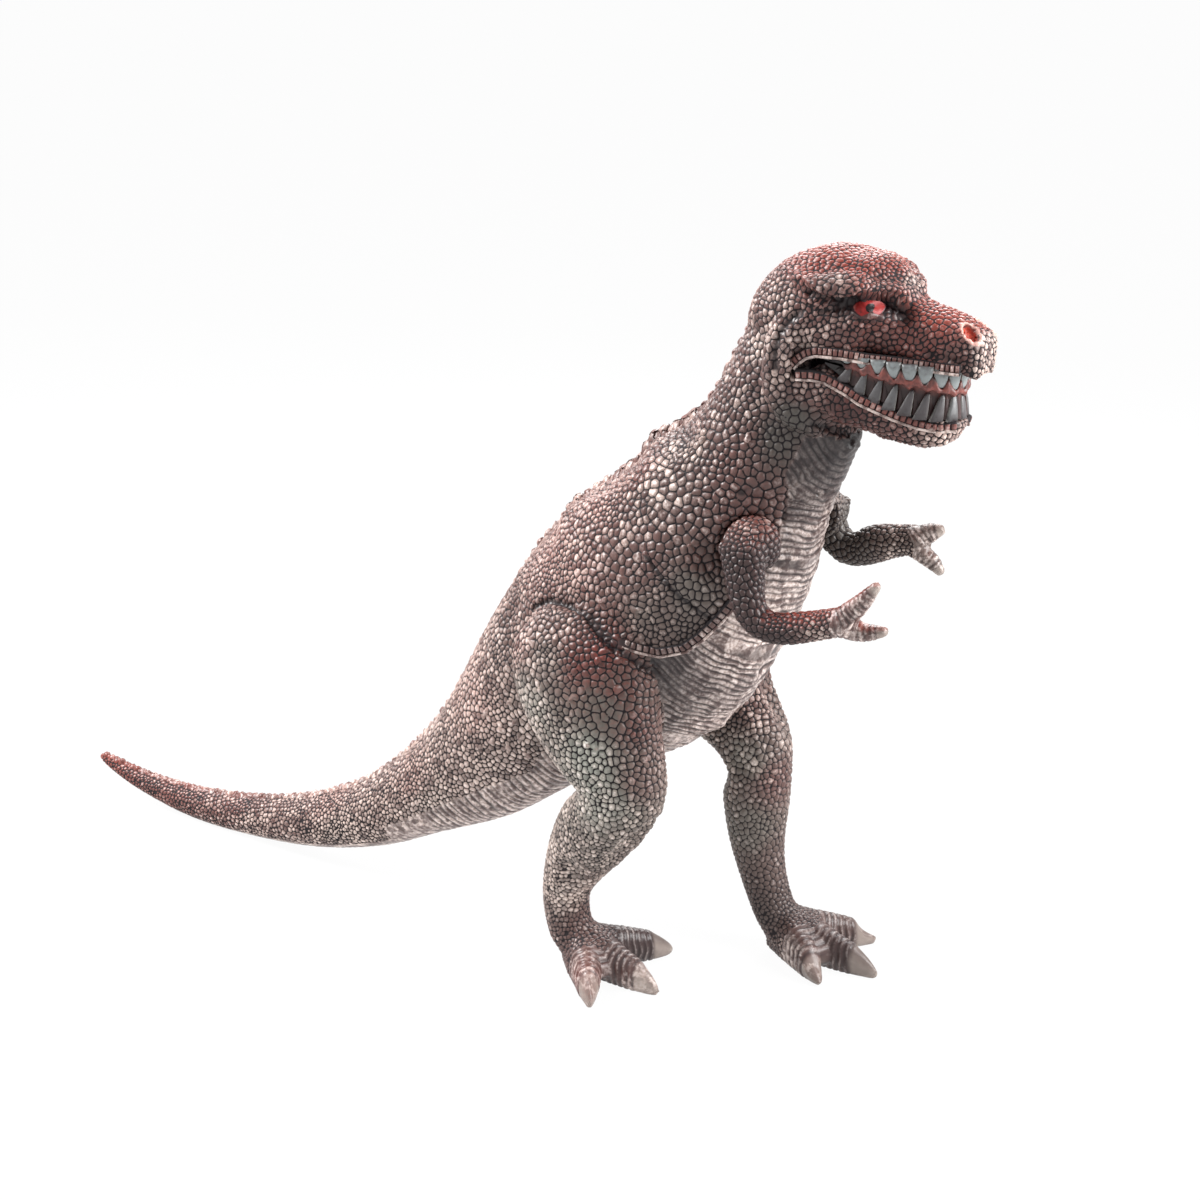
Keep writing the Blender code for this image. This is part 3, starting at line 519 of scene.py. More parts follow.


# Each stroke: its places in the picture, its half width and its height in mm, and how dark
# the painted shade and wash stand in it.
HEAD_STROKES = (
    # brow roll, the hollow under it, its rear ridge
    (((801, 279), (815, 284), (830, 289), (848, 293), (868, 293), (888, 291), (900, 292), (908, 292)),
     4.0, 1.9, 0.0),
    (((838, 306), (852, 305), (870, 303), (888, 306), (901, 312)), 5.5, -1.6, 1.0),
    (((886, 304), (895, 308), (903, 315)), 3.4, -1.0, 1.0),
    (((808, 292), (820, 298), (834, 302), (848, 301), (870, 299), (890, 300), (906, 305)),
     2.2, -2.0, 1.0),
    (((796, 279), (808, 282), (822, 289)), 1.0, 0.6, 0.0),
    (((820, 312), (836, 310), (850, 308)), 1.1, -0.8, 0.9),
    # cheek roll and the crease behind it
    (((800, 318), (790, 328), (784, 342), (783, 356), (785, 368)), 3.0, 0.9, 0.0),
    (((799, 313), (786, 324), (777, 340), (774, 356), (776, 368)), 1.8, -1.1, 0.9),
    # corner of the mouth, drawn back beyond the teeth
    (((795, 372), (803, 368), (812, 363), (824, 361)), 1.5, -1.6, 1.0),
    (((806, 370), (815, 367), (826, 366)), 1.3, -1.0, 1.0),
    # under the eye, and the side of the snout
    (((850, 321), (866, 326), (882, 322), (895, 313)), 1.5, 0.6, 0.0),
    (((925, 352), (942, 358), (960, 361)), 1.6, -0.5, 0.5),
    # jowl and the jaw's lower edge
    (((818, 402), (832, 413), (846, 422)), 2.2, 0.6, 0.0),
    (((866, 432), (885, 437), (905, 442), (925, 446), (944, 444)), 1.6, 0.5, 0.0),
    (((812, 424), (828, 428), (846, 433), (866, 438)), 1.5, -0.7, 0.8),
)
TRUNK_STROKES = (
    # mould seam on the flank
    (((645, 556), (660, 577), (680, 598), (700, 612), (714, 622)), 1.0, -0.6, 1.0),
    # the crease across the throat
    (((783, 521), (786, 511), (798, 504), (812, 497), (829, 488)), 0.7, -0.45, 0.8),
)
LEG_STROKES = (
    # the thigh's upper edge and the fold before it, both painted dark with shade
    (((533, 608), (541, 603), (550, 601), (565, 604), (584, 613), (601, 636), (613, 650)),
     1.3, -1.0, 1.0),
    (((592, 616), (606, 634), (622, 652), (640, 664), (655, 672)), 2.0, -0.9, 0.8),
)
CHEEK_SPOTS = ((776, 388), (786, 400), (800, 408), (796, 392), (812, 392), (828, 396), (842, 400))
CHEEK_REACH = 4.5 * MM
SMOOTHING_ROUNDS = 160


def smoothed(shell, places, reach, repeated):
    """Rubs the clay smooth round some places."""
    spots = np.array([seen(u, v, shell.surface) for u, v in places])
    if repeated:
        spots = np.concatenate(on_both(spots))
    gap = np.min([np.linalg.norm(shell.points - spot, axis=1) for spot in spots], axis=0)
    sides = sides_of(shell.squares)
    sides = sides[(gap[sides] < reach).all(axis=1)]
    used, packed = np.unique(sides, return_inverse=True)
    sides = packed.reshape(-1, 2)
    points = shell.points[used]
    pull = softly(2 - 2 * gap[used] / reach)[:, None] * EASE
    for _ in range(SMOOTHING_ROUNDS):
        points = points + pull * off_neighbours(points, sides)
    shell.points[used] = points
    shell.settle()


def pressed(shell, strokes, repeated):
    """Presses or lays each stroke, and paints shade with the dark wash into the pressed ones."""
    lift = np.zeros(len(shell.points))
    for pixels, width, height, wash_and_shade in strokes:
        line = line_on(pixels, shell.surface)
        for way in on_both(line) if repeated else (line,):
            near, gap, _, _ = measured(shell.points, way, width * MM)
            share = softly(1 - gap / (width * MM))
            lift[near] += height * MM * share
            shell.mark("shade", wash_and_shade * share, near)
    shell.points = shell.points + shell.outward * lift[:, None]
    shell.turned()


for moves in (HEAD_MOVES, LIP_MOVES, BODY_MOVES):
    drawn(skin, moves, True)
drawn(skin, LEG_MOVES, False)
smoothed(skin, CHEEK_SPOTS, CHEEK_REACH, True)
pressed(skin, HEAD_STROKES, True)
pressed(skin, TRUNK_STROKES, True)
pressed(skin, LEG_STROKES, False)


# The lips, the hem and the eyes' hollows
# No scales are cut where the rows of square scales run above and below the mouth and along the
# flank, nor in the hollows in which the eyes lie, which are sunk a little. Both are painted dark
# with shade.
UPPER_LIP = ((794, 369), (799, 363.5), (806, 358.5), (816, 356), (841, 358.6), (866, 363),
             (894, 366), (923, 370), (951, 374), (960, 375))
LOWER_LIP = ((796, 377), (812, 378), (826, 381.5), (846, 393), (860, 403), (877, 411),
             (894, 418.5), (917, 426.5), (937, 430), (956, 428))
HEM = ((622, 647), (635, 652), (659, 657), (686, 652), (703, 640), (722, 622), (741, 600))
# how far below each line the skin is met, and the middle of its row is, in points of the picture
BESIDE = {"upper_lip": -9, "lower_lip": 9, "hem": -6}
ROW_MIDDLE = -4.5
# how far to each side of a row no scales are cut, how sharply that ends, and how dark painted shade
# lies there
ROW_CLEARED, ROW_EDGE, ROW_SHADE = 1.35 * MM, 3, 0.85
# how far, in mm, the skin may lie off a row's smooth path in each round of fitting
DEPTH_SLACK = (4.0, 2.5, 1.5, 0.9)
# the eye's line, how far round it no scales are cut, how deep it sinks, and how dark painted shade lies
# in the hollow
EYE_LINE, EYE_CLEARED, EYE_SUNK, EYE_SHADE = ((858, 308.7), (879, 308.7)), 3.6 * MM, 0.7 * MM, 0.6


def row_path(pixels, beside, tree):
    """A smooth line at the depth of the skin beside it, with the skin's direction on the way."""
    places = followed(pixels)
    rays = [sight(u, v) for u, v in places]
    met = np.array([seen(u, v + beside, tree) for u, v in places])
    faced = np.array([tree.find_nearest(spot)[1] for spot in met])
    depth = np.linalg.norm(met - camera.location, axis=1)
    share = np.linspace(-1, 1, len(places))
    kept = np.ones(len(places), dtype=bool)
    for slack in DEPTH_SLACK:
        level = np.polyval(np.polyfit(share[kept], depth[kept], 3), share)
        kept = np.abs(depth - level) < slack * MM
    line = np.array([camera.location + ray * far for ray, far in zip(rays, level)])
    fits = [np.polyfit(share[kept], column[kept], 2) for column in faced.T]
    outward = np.stack([np.polyval(fit, share) for fit in fits], 1)
    return line, outward / np.linalg.norm(outward, axis=1, keepdims=True)


for name, pixels in (("upper_lip", UPPER_LIP), ("lower_lip", LOWER_LIP), ("hem", HEM)):
    middle = [(u, v + ROW_MIDDLE) for u, v in pixels]
    line, _ = row_path(middle, BESIDE[name] - ROW_MIDDLE, skin.surface)
    for way in on_both(line):
        near, gap, _, _ = measured(skin.points, way, ROW_CLEARED)
        share = softly(ROW_EDGE - ROW_EDGE * gap / ROW_CLEARED)
        skin.bare(share, near)
        skin.mark("shade", ROW_SHADE * share, near)
for way in on_both(line_on(EYE_LINE, skin.surface)):
    near, gap, _, _ = measured(skin.points, way, EYE_CLEARED)
    share = softly(2.5 - 2.5 * gap / EYE_CLEARED)
    skin.bare(share, near)
    skin.mark("shade", EYE_SHADE * share, near)
    sunk = softly(1.6 - 2.4 * gap / EYE_CLEARED) * EYE_SUNK
    skin.points[near] -= skin.outward[near] * sunk[:, None]
skin.settle()


# The feet
# Bare toes, ribbed across and ending in blunt pale claws, flat underneath to stand on.
TOE_REACH, TOE_END = 8.0 * MM, 1.3
RIB_PITCH, RIB_DEPTH, RIB_SWAY = 1.9 * MM, 0.4 * MM, 0.12
CLAW_SHARE, TOE_BARE_FROM = 0.27, 0.30
# over which shares of a toe its scales give way to ribs, its ribs to the claw, and painted
# shade with the dark wash stands at the nail's root
BARE_EASE, CLAW_EASE, NAIL_EASE, NAIL_SHADE = 0.12, 0.06, 0.04, 0.45
# how broad a rib's crown is, and how much of its height lies below the skin
RIB_BROAD, RIB_SUNK = 1.5, 0.6
# how dark painted shade lies in the grooves between ribs, with a painted highlight on their
# crowns, and how much that changes from patch to patch
RIB_DARK, RIB_CHANGE, RIB_PATCH = 0.55, 0.5, 6 * MM
# how far the claws' upper sides are left in the skin's colour
CLAW_DUSTED = 0.6
# the toes' roots and tips on the ground, in mm, how much of its width a toe keeps on the way
# from one to the other, and the height below which it is narrowed
TOE_AXES = (
    ((50, -21), (64, -39)), ((50, -21), (75.5, -22.5)), ((50, -21), (66, 1)),
    ((92, 20.5), (111, 7)), ((92, 20.5), (122, 19.5)), ((92, 20.5), (112, 39)),
)
TAPER = ((0.25, 0.5, 0.7, 0.85, 1.0), (1.0, 0.80, 0.70, 0.58, 0.42))
CLAW_SINK = ((0.75, 1.0), (1.0, 0.72))
TOE_TOP = 16.0 * MM


def narrowed(shell):
    """Narrows each toe towards its claw, and tells how far along its toe each point is."""
    flat = shell.points[:, :2]
    best = np.full(len(flat), TOE_REACH)
    shift = np.zeros_like(flat)
    along_toe = np.zeros(len(flat))
    walked = np.zeros(len(flat))
    for root, tip in TOE_AXES:
        span = (np.array(tip) - root) * MM
        offset = flat - np.array(root) * MM
        share = offset @ span / (span @ span)
        aside = offset - np.clip(share, 0, 2)[:, None] * span
        gap = np.linalg.norm(aside, axis=1)
        nearer = (gap < best) & (share > 0) & (share < TOE_END) & (shell.points[:, 2] < TOE_TOP)
        kept = np.interp(share, *TAPER)
        shift[nearer] = (aside * (kept - 1)[:, None])[nearer]
        along_toe[nearer] = share[nearer]
        walked[nearer] = share[nearer] * np.linalg.norm(span)
        best[nearer] = gap[nearer]
    low = softly(2 - 2 * shell.points[:, 2] / TOE_TOP)
    shell.points[:, :2] += shift * low[:, None]
    shell.points[:, 2] *= 1 + (np.interp(along_toe, *CLAW_SINK) - 1) * low
    shell.settle()
    return along_toe, walked


def ripple(points, size, seed):
    """A smooth uneven field between about -1 and 1, with swells of this size."""
    chance = np.random.default_rng(seed)
    total = np.zeros(len(points))
    for _ in range(7):
        direction = chance.normal(size=3)
        direction *= 2 * math.pi / (size * np.linalg.norm(direction)) * chance.uniform(0.6, 1.5)
        total += np.sin(points @ direction + chance.uniform(0, 2 * math.pi))
    return total / 3.5


def ribbed(shell, share, walked, starts, pitch, depth, claw_share):
    """Ribs across toes or fingers, told how far along each point is, and their claws."""
    bare = softly((share - starts) / BARE_EASE)
    count = walked / pitch + RIB_SWAY * np.sin(shell.points[:, 2] / MM)
    wave = np.abs(np.sin(math.pi * count))
    past_root = share - (1 - claw_share)
    claw = softly(past_root / CLAW_EASE)
    strength = bare * (1 - claw)
    stands = np.clip(wave * RIB_BROAD, 0, 1) - RIB_SUNK
    shell.points += shell.outward * (stands * depth * strength)[:, None]
    dark = np.clip(RIB_DARK + RIB_CHANGE * ripple(shell.points, RIB_PATCH, 8), 0.1, 0.9)
    shell.mark("fold", dark * strength)
    shell.marks["step"] = np.where(bare > 0, count, shell.marks["step"])
    shell.mark("horn", claw * (1 - CLAW_DUSTED * softly(shell.outward[:, 2] * 1.4)))
    shell.bare(bare)
    nail_root = 1 - np.clip(np.abs(past_root) / NAIL_EASE, 0, 1)
    shell.mark("shade", NAIL_SHADE * nail_root * bare)


ribbed(skin, *narrowed(skin), TOE_BARE_FROM, RIB_PITCH, RIB_DEPTH, CLAW_SHARE)
skin.turned()


# The belly and throat
# Bare wrinkled hide without scales, from under the tail to the jaw. Its folds run across the
# body, and along the flank it ends at a raised hem with a row of square scales above.
BELLY_EDGE = (
    (330, 838), (400, 822), (440, 806), (480, 790), (530, 772), (616, 645),
    (635, 652), (659, 657), (686, 652), (703, 640), (722, 622), (741, 600), (777, 554), (781, 526),
    (786, 511), (789, 496), (785, 473), (793, 461), (800, 445), (809, 430), (818, 421), (845, 424),
)
BODY_LINE = ((-156, 5), (-120, 9), (-80, 17), (-40, 34), (0, 58), (30, 77), (60, 95), (85, 115),
             (99, 133), (106, 148), (117, 160), (134, 170))
FOLD_PITCH, LOW_PITCH, LOW_TO, FOLD_DEPTH = 1.75 * MM, 2.35 * MM, 225 * MM, 0.55 * MM
THROAT_FROM, THROAT_PITCH, THROAT_SLANT = 147 * MM, 1.5 * MM, (0.93, 0.37)
SOFTENING = 1.2 * MM
BARE_FROM, BARE_FADE = -38 * MM, 20 * MM
# how strongly the folds are drawn behind the legs
FAINT_TO, FAINT = -10 * MM, 0.35
# how the folds wander: the size of each swell, its seed, and how many folds it shifts them
FOLD_SWAY = ((16 * MM, 3, 0.36), (5 * MM, 4, 0.1))
# how large the patches of weaker folds are, how much of a fold lies below the skin, and how strongly
# the folds are painted with shade in their valleys and a highlight on their crowns
FOLD_PATCH, FOLD_SUNK, FOLD_SHADING = 8 * MM, 0.6, 0.95
BELLY_SHADES = (
    # places in the picture, and how dark the painted shade and wash stand there, darkest under the
    # jaw and where the belly runs under the hem and the thigh
    (835, 450, 0.93), (820, 475, 0.86), (850, 440, 0.95), (808, 495, 0.66), (800, 560, 0.46),
    (812, 530, 0.46), (775, 600, 0.3), (640, 668, 1.0), (628, 662, 1.05), (670, 680, 0.80),
    (700, 690, 0.55), (720, 660, 0.36), (740, 640, 0.2), (700, 730, 0.14), (690, 760, 0.05),
    (760, 650, 0.10), (660, 720, 0.62), (650, 740, 0.56), (650, 692, 0.85), (480, 800, 0.18),
    (420, 825, 0.18),
)


def in_profile(points):
    """The points as they lie in the figure's middle plane."""
    flat = np.array(points, dtype=float)
    flat[:, 1] = 0
    return flat


def spread_out(points, places, values, sharpness=3.0):
    """Values given at a few places, spread smoothly over all the points between them."""
    total = np.zeros(len(points))
    weights = np.zeros(len(points))
    for place, value in zip(places, values):
        weight = (np.sum((points - place) ** 2, axis=1) + MM**2) ** (-sharpness / 2)
        total += weight * value
        weights += weight
    return total / weights


def spread_from(shell, pixels, values):
    """Values given at places of the picture, and the same on the other side, spread out."""
    places = np.array([seen(u, v, shell.surface) for u, v in pixels])
    return spread_out(shell.points, np.concatenate(on_both(places)), np.concatenate([values, values]))


edge_line = in_profile(line_on(BELLY_EDGE, skin.surface))
flat_points = in_profile(skin.points)
steps = np.diff(edge_line, axis=0)
lengths = np.cumsum(np.linalg.norm(steps, axis=1))
_, gap, along, side = measured(flat_points, edge_line, 1.0)
heading = steps[np.minimum(np.searchsorted(lengths, along), len(steps) - 1)]
below = heading[:, 0] * side[:, 2] - heading[:, 2] * side[:, 0] < 0
belly = softly(np.where(below, gap, -gap) / SOFTENING + 0.5)
belly *= np.isin(skin.owner, [SKIN.index(name) for name in ("body", "belly_panel", "tail")])
belly *= softly((skin.points[:, 0] - BARE_FROM) / BARE_FADE)
under_tail = (skin.owner == SKIN.index("tail")) * softly(-1.6 * skin.outward[:, 2] - 0.6)
belly = np.maximum(belly, under_tail)
skin.bare(belly)

body_line = np.array([(x * MM, 0, z * MM) for x, z in BODY_LINE])
_, _, on_line, _ = measured(flat_points, body_line, 1.0)
warp = sum(ripple(skin.points, size, seed) * share for size, seed, share in FOLD_SWAY)
slanted = (skin.points[:, 0] * THROAT_SLANT[0] + skin.points[:, 2] * THROAT_SLANT[1]) / THROAT_PITCH
on_throat = skin.points[:, 2] > THROAT_FROM
level = on_line / FOLD_PITCH - np.maximum(LOW_TO - on_line, 0) * (1 / LOW_PITCH - 1 / FOLD_PITCH)
count = np.where(on_throat, slanted, level) + warp
wave = np.abs(np.sin(math.pi * count))
weak = np.clip(0.9 + 0.35 * ripple(skin.points, FOLD_PATCH, 5), 0.5, 1)
weak *= np.where(skin.points[:, 0] < FAINT_TO, FAINT, 1.0)
skin.points += skin.outward * ((wave**0.7 - FOLD_SUNK) * FOLD_DEPTH * weak * belly)[:, None]
skin.marks["fold"] = np.where(belly > 0, belly * weak * FOLD_SHADING, skin.marks["fold"])
skin.marks["step"] = np.where(belly > 0, count, skin.marks["step"])
belly_shades = [shade for _, _, shade in BELLY_SHADES]
skin.mark("shade", spread_from(skin, [spot[:2] for spot in BELLY_SHADES], belly_shades) * belly)


# The scales
# Domed pebbles of uneven shape with a narrow groove round each, cut in the mould: largest on
# the flank and thigh, half as large on the snout and the end of the tail.
SCALE_SIZES = (
    # places in the picture and the width of a scale there, in mm
    (105, 757, 1.3), (200, 805, 1.4), (300, 815, 1.6), (400, 790, 1.7), (480, 720, 1.9),
    (540, 570, 2.0), (600, 500, 2.1), (650, 480, 2.5), (700, 430, 2.5), (700, 540, 2.5),
    (660, 600, 2.2), (740, 380, 2.2), (770, 310, 2.1), (830, 255, 1.7), (905, 275, 1.5),
    (880, 345, 1.7), (950, 345, 1.7), (800, 350, 1.9), (870, 420, 2.0), (760, 470, 2.3),
    (560, 650, 2.0), (610, 740, 2.3), (640, 790, 2.2), (580, 830, 1.7), (560, 890, 1.5),
    (590, 930, 1.4), (765, 720, 1.9), (760, 800, 2.1), (770, 880, 1.6), (780, 920, 1.4),
)
# the share of its square width that a six-sided scale fills
HEXAGON = 0.866
SETTLING_ROUNDS = 6
# shares of a scale's width: the groove's depth, how far in the dome rises and the wash fades
GROOVE_DEPTH, DOME_SHARE, GROOVE_SHARE = 0.20, 0.36, 0.26
# how much of the dome lies below the skin
DOME_SUNK = 0.7
# points this near to a groove are drawn into it
SNAP = 0.28 * MM
UNEVEN = 0.30
NEIGHBOURS = 4


def areas(shell):
    across = shell.points[shell.squares[:, 2]] - shell.points[shell.squares[:, 0]]
    along = shell.points[shell.squares[:, 3]] - shell.points[shell.squares[:, 1]]
    each = np.linalg.norm(np.cross(across, along), axis=1) / 2
    return sum(np.bincount(shell.squares[:, c], each / 4, len(shell.points)) for c in range(4))


def tree_of(places):
    tree = KDTree(len(places))
    for index, place in enumerate(places.tolist()):
        tree.insert(place, index)
    tree.balance()
    return tree


def scattered(shell, width, chance):
    """Middles of scales of the given width at each point, settled to an even spread."""
    area = areas(shell)
    share = area / (HEXAGON * width**2)
    count = int(share.sum())
    picked = chance.choice(len(share), count, replace=False, p=share / share.sum())
    middles = shell.points[picked]
    weight = area / width**4
    rows = shell.points.tolist()
    for _ in range(SETTLING_ROUNDS):
        tree = tree_of(middles)
        nearest = np.array([tree.find(row)[1] for row in rows])
        total = np.bincount(nearest, weight, count)
        held = total > 0
        for axis in range(3):
            moved = np.bincount(nearest, weight * shell.points[:, axis], count)
            middles[held, axis] = moved[held] / total[held]
    return middles


def scaled(shell, width, seed):
    """Cuts the grooves between scales and domes each of them."""
    chance = np.random.default_rng(seed)
    middles = scattered(shell, width, chance)
    tree = tree_of(middles)
    found = [tree.find_n(row, NEIGHBOURS) for row in shell.points.tolist()]
    index = np.array([[one[1] for one in some] for some in found])
    gap = np.array([[one[2] for one in some] for some in found]) ** 2
    gap += (chance.uniform(-1, 1, len(middles))[index]) * ((UNEVEN * width) ** 2)[:, None]
    order = np.argsort(gap, axis=1)
    index = np.take_along_axis(index, order, axis=1)
    gap = np.take_along_axis(gap, order, axis=1)
    own = middles[index[:, 0]]
    border = np.full(len(own), np.inf)
    for other in (1, 2):
        apart = np.linalg.norm(middles[index[:, other]] - own, axis=1)
        border = np.minimum(border, (gap[:, other] - gap[:, 0]) / (2 * apart))
    towards = middles[index[:, 1]] - own
    towards -= shell.outward * np.sum(towards * shell.outward, axis=1, keepdims=True)
    towards /= np.maximum(np.linalg.norm(towards, axis=1, keepdims=True), 1e-9)
    rough = 1 - shell.smooth
    on_border = (border < SNAP) & (rough > 0.5)
    shell.points[on_border] += towards[on_border] * border[on_border, None]
    border[on_border] = 0
    dome = 1 - (1 - np.clip(border / (DOME_SHARE * width), 0, 1)) ** 2
    shell.points += shell.outward * ((dome - DOME_SUNK) * GROOVE_DEPTH * width * rough)[:, None]
    edge = np.clip(border / (GROOVE_SHARE * width), 0, 1)
    scaly = np.minimum(shell.marks["edge"], edge)
    shell.marks["edge"] = np.where(rough > 0.5, scaly, shell.marks["edge"])
    shell.marks["tone"] = chance.random(len(middles))[index[:, 0]]


scale_widths = [width for _, _, width in SCALE_SIZES]
scaled(skin, spread_from(skin, [spot[:2] for spot in SCALE_SIZES], scale_widths) * MM, 11)
skin.turned()


# The crest and the studs
# Rounded bumps in one row from the back of the head down to the end of the tail, and small
# rusty cones scattered over the flanks, thighs and tail root.
CREST_LINE = BODY_LINE[:-3] + ((106, 150), (110, 168), (113, 186))
# shares of a bump's length, and its length in mm at places from the tail's end forward
CREST_RADIUS, CREST_HEIGHT, CREST_RED = 0.72, 0.45, 0.7
CREST_LENGTHS = ((-150 * MM, -60 * MM, 20 * MM, 80 * MM), (2.3, 3.0, 4.0, 3.8))
CREST_LOOK = 90 * MM
STUDS = (
    (645, 554), (635, 611), (601, 603), (622, 577), (702, 440), (747, 440), (676, 456), (659, 509),
    (616, 688), (587, 688), (599, 722), (596, 749), (593, 556), (507, 667), (509, 703), (485, 713),
    (579, 608), (640, 640), (606, 650), (598, 660), (560, 590), (620, 660), (570, 700), (530, 640),
    (500, 730), (492, 742), (508, 748), (520, 738), (478, 748), (515, 722), (528, 756), (470, 732),
    (700, 500), (720, 520), (690, 545), (540, 690), (588, 745), (645, 760), (555, 640),
)
STUD_RADIUS, STUD_HEIGHT, STUD_RED = 1.25 * MM, 0.9 * MM, 0.55


def walked_along(line):
    """How far along a line each of its points is."""
    return np.concatenate([[0], np.cumsum(np.linalg.norm(np.diff(line, axis=0), axis=1))])


def place_at(far, walked, line):
    """The point this far along a line."""
    return np.array([np.interp(far, walked, column) for column in line.T])


def across_line(line):
    """Square to a line in the figure's middle plane, towards the back."""
    heading = np.gradient(line, axis=0)
    out = np.stack([-heading[:, 2], 0 * heading[:, 0], heading[:, 0]], axis=1)
    return out / np.linalg.norm(out, axis=1, keepdims=True)


def raised(shell, places, radii, heights, redness):
    """Raises a rounded cone at each place."""
    for place, radius, height in zip(places, radii, heights):
        near = np.flatnonzero(np.all(np.abs(shell.points - place) < radius, axis=1))
        gap = np.linalg.norm(shell.points[near] - place, axis=1)
        share = softly(1 - gap / radius)
        shell.points[near] += shell.outward[near] * (share * height)[:, None]
        shell.mark("edge", 1.4 * share, near)
        shell.mark("red", redness * share, near)


path = np.array([(x * MM, MIDDLE, z * MM) for x, z in CREST_LINE])
fine = np.concatenate([path[:-1] + (path[1:] - path[:-1]) * step / 40 for step in range(40)])
fine = fine[np.argsort(fine[:, 0] + fine[:, 2])]
outer = fine + across_line(fine) * CREST_LOOK
hits = [skin.surface.ray_cast(Vector(start), Vector(end - start)) for start, end in zip(outer, fine)]
back = np.array([hit[0] for hit in hits if hit[0] is not None])
walked = walked_along(back)
crest_places, crest_sizes, at = [], [], 0.0
while at < walked[-1]:
    place = place_at(at, walked, back)
    size = np.interp(place[0], *CREST_LENGTHS) * MM
    crest_places.append(place)
    crest_sizes.append(size)
    at += size
crest_sizes = np.array(crest_sizes)
raised(skin, crest_places, CREST_RADIUS * crest_sizes, CREST_HEIGHT * crest_sizes, CREST_RED)

for places in on_both(np.array([seen(u, v, skin.surface) for u, v in STUDS])):
    places = np.array([skin.surface.find_nearest(Vector(place))[0] for place in places])
    sizes = np.ones(len(places))
    raised(skin, places, STUD_RADIUS * sizes, STUD_HEIGHT * sizes, STUD_RED)


# The nostrils and eyelids
# Two oval pits on the snout with a pale raised rim, and lids drawn to a point at both ends of
# each eye with painted shade along them, the upper one in the hollow under the brow.
NOSTRIL, NOSTRIL_TOP = (971, 334), (964, 324)
PIT_LENGTH, PIT_WIDTH, PIT_DEPTH = 2.9 * MM, 1.8 * MM, 1.1 * MM
RIM_MIDDLE, RIM_WIDTH, RIM_HEIGHT = 1.12, 0.3, 0.4 * MM
UPPER_LID = ((848, 309.5), (856, 302), (865, 297.8), (876, 298), (884, 302), (889, 309))
LOWER_LID = ((848, 309.5), (857, 316), (866, 320), (876, 320), (885, 316), (889, 309))
LID_WIDTH, LID_HEIGHT, LID_SHADE = 0.8 * MM, 0.35 * MM, 0.8
# how wide painted shade lies along a lid, in widths of the lid
LID_DARK = 2.2

for centre, end in on_both(np.array([seen(u, v, skin.surface) for u, v in (NOSTRIL, NOSTRIL_TOP)])):
    long_way = (end - centre) / np.linalg.norm(end - centre)
    offset = skin.points - centre
    length = offset @ long_way
    width = np.linalg.norm(offset - length[:, None] * long_way, axis=1)
    gap = np.hypot(length / PIT_LENGTH, width / PIT_WIDTH)
    pit = softly(3.0 * (1 - gap))
    rim = softly(1 - np.abs(gap - RIM_MIDDLE) / RIM_WIDTH)
    skin.points += skin.outward * (rim * RIM_HEIGHT - pit * PIT_DEPTH)[:, None]
    skin.mark("raw", pit)
    skin.mark("pink", rim * (1 - pit))
    skin.mark("edge", np.maximum(rim, pit))

for lid in (UPPER_LID, LOWER_LID):
    for way in on_both(line_on(lid, skin.surface)):
        near, gap, _, _ = measured(skin.points, way, LID_DARK * LID_WIDTH)
        share = softly(1 - gap / LID_WIDTH)
        skin.points[near] += skin.outward[near] * (share * LID_HEIGHT)[:, None]
        skin.mark("shade", LID_SHADE * softly(1 - gap / (LID_DARK * LID_WIDTH)), near)
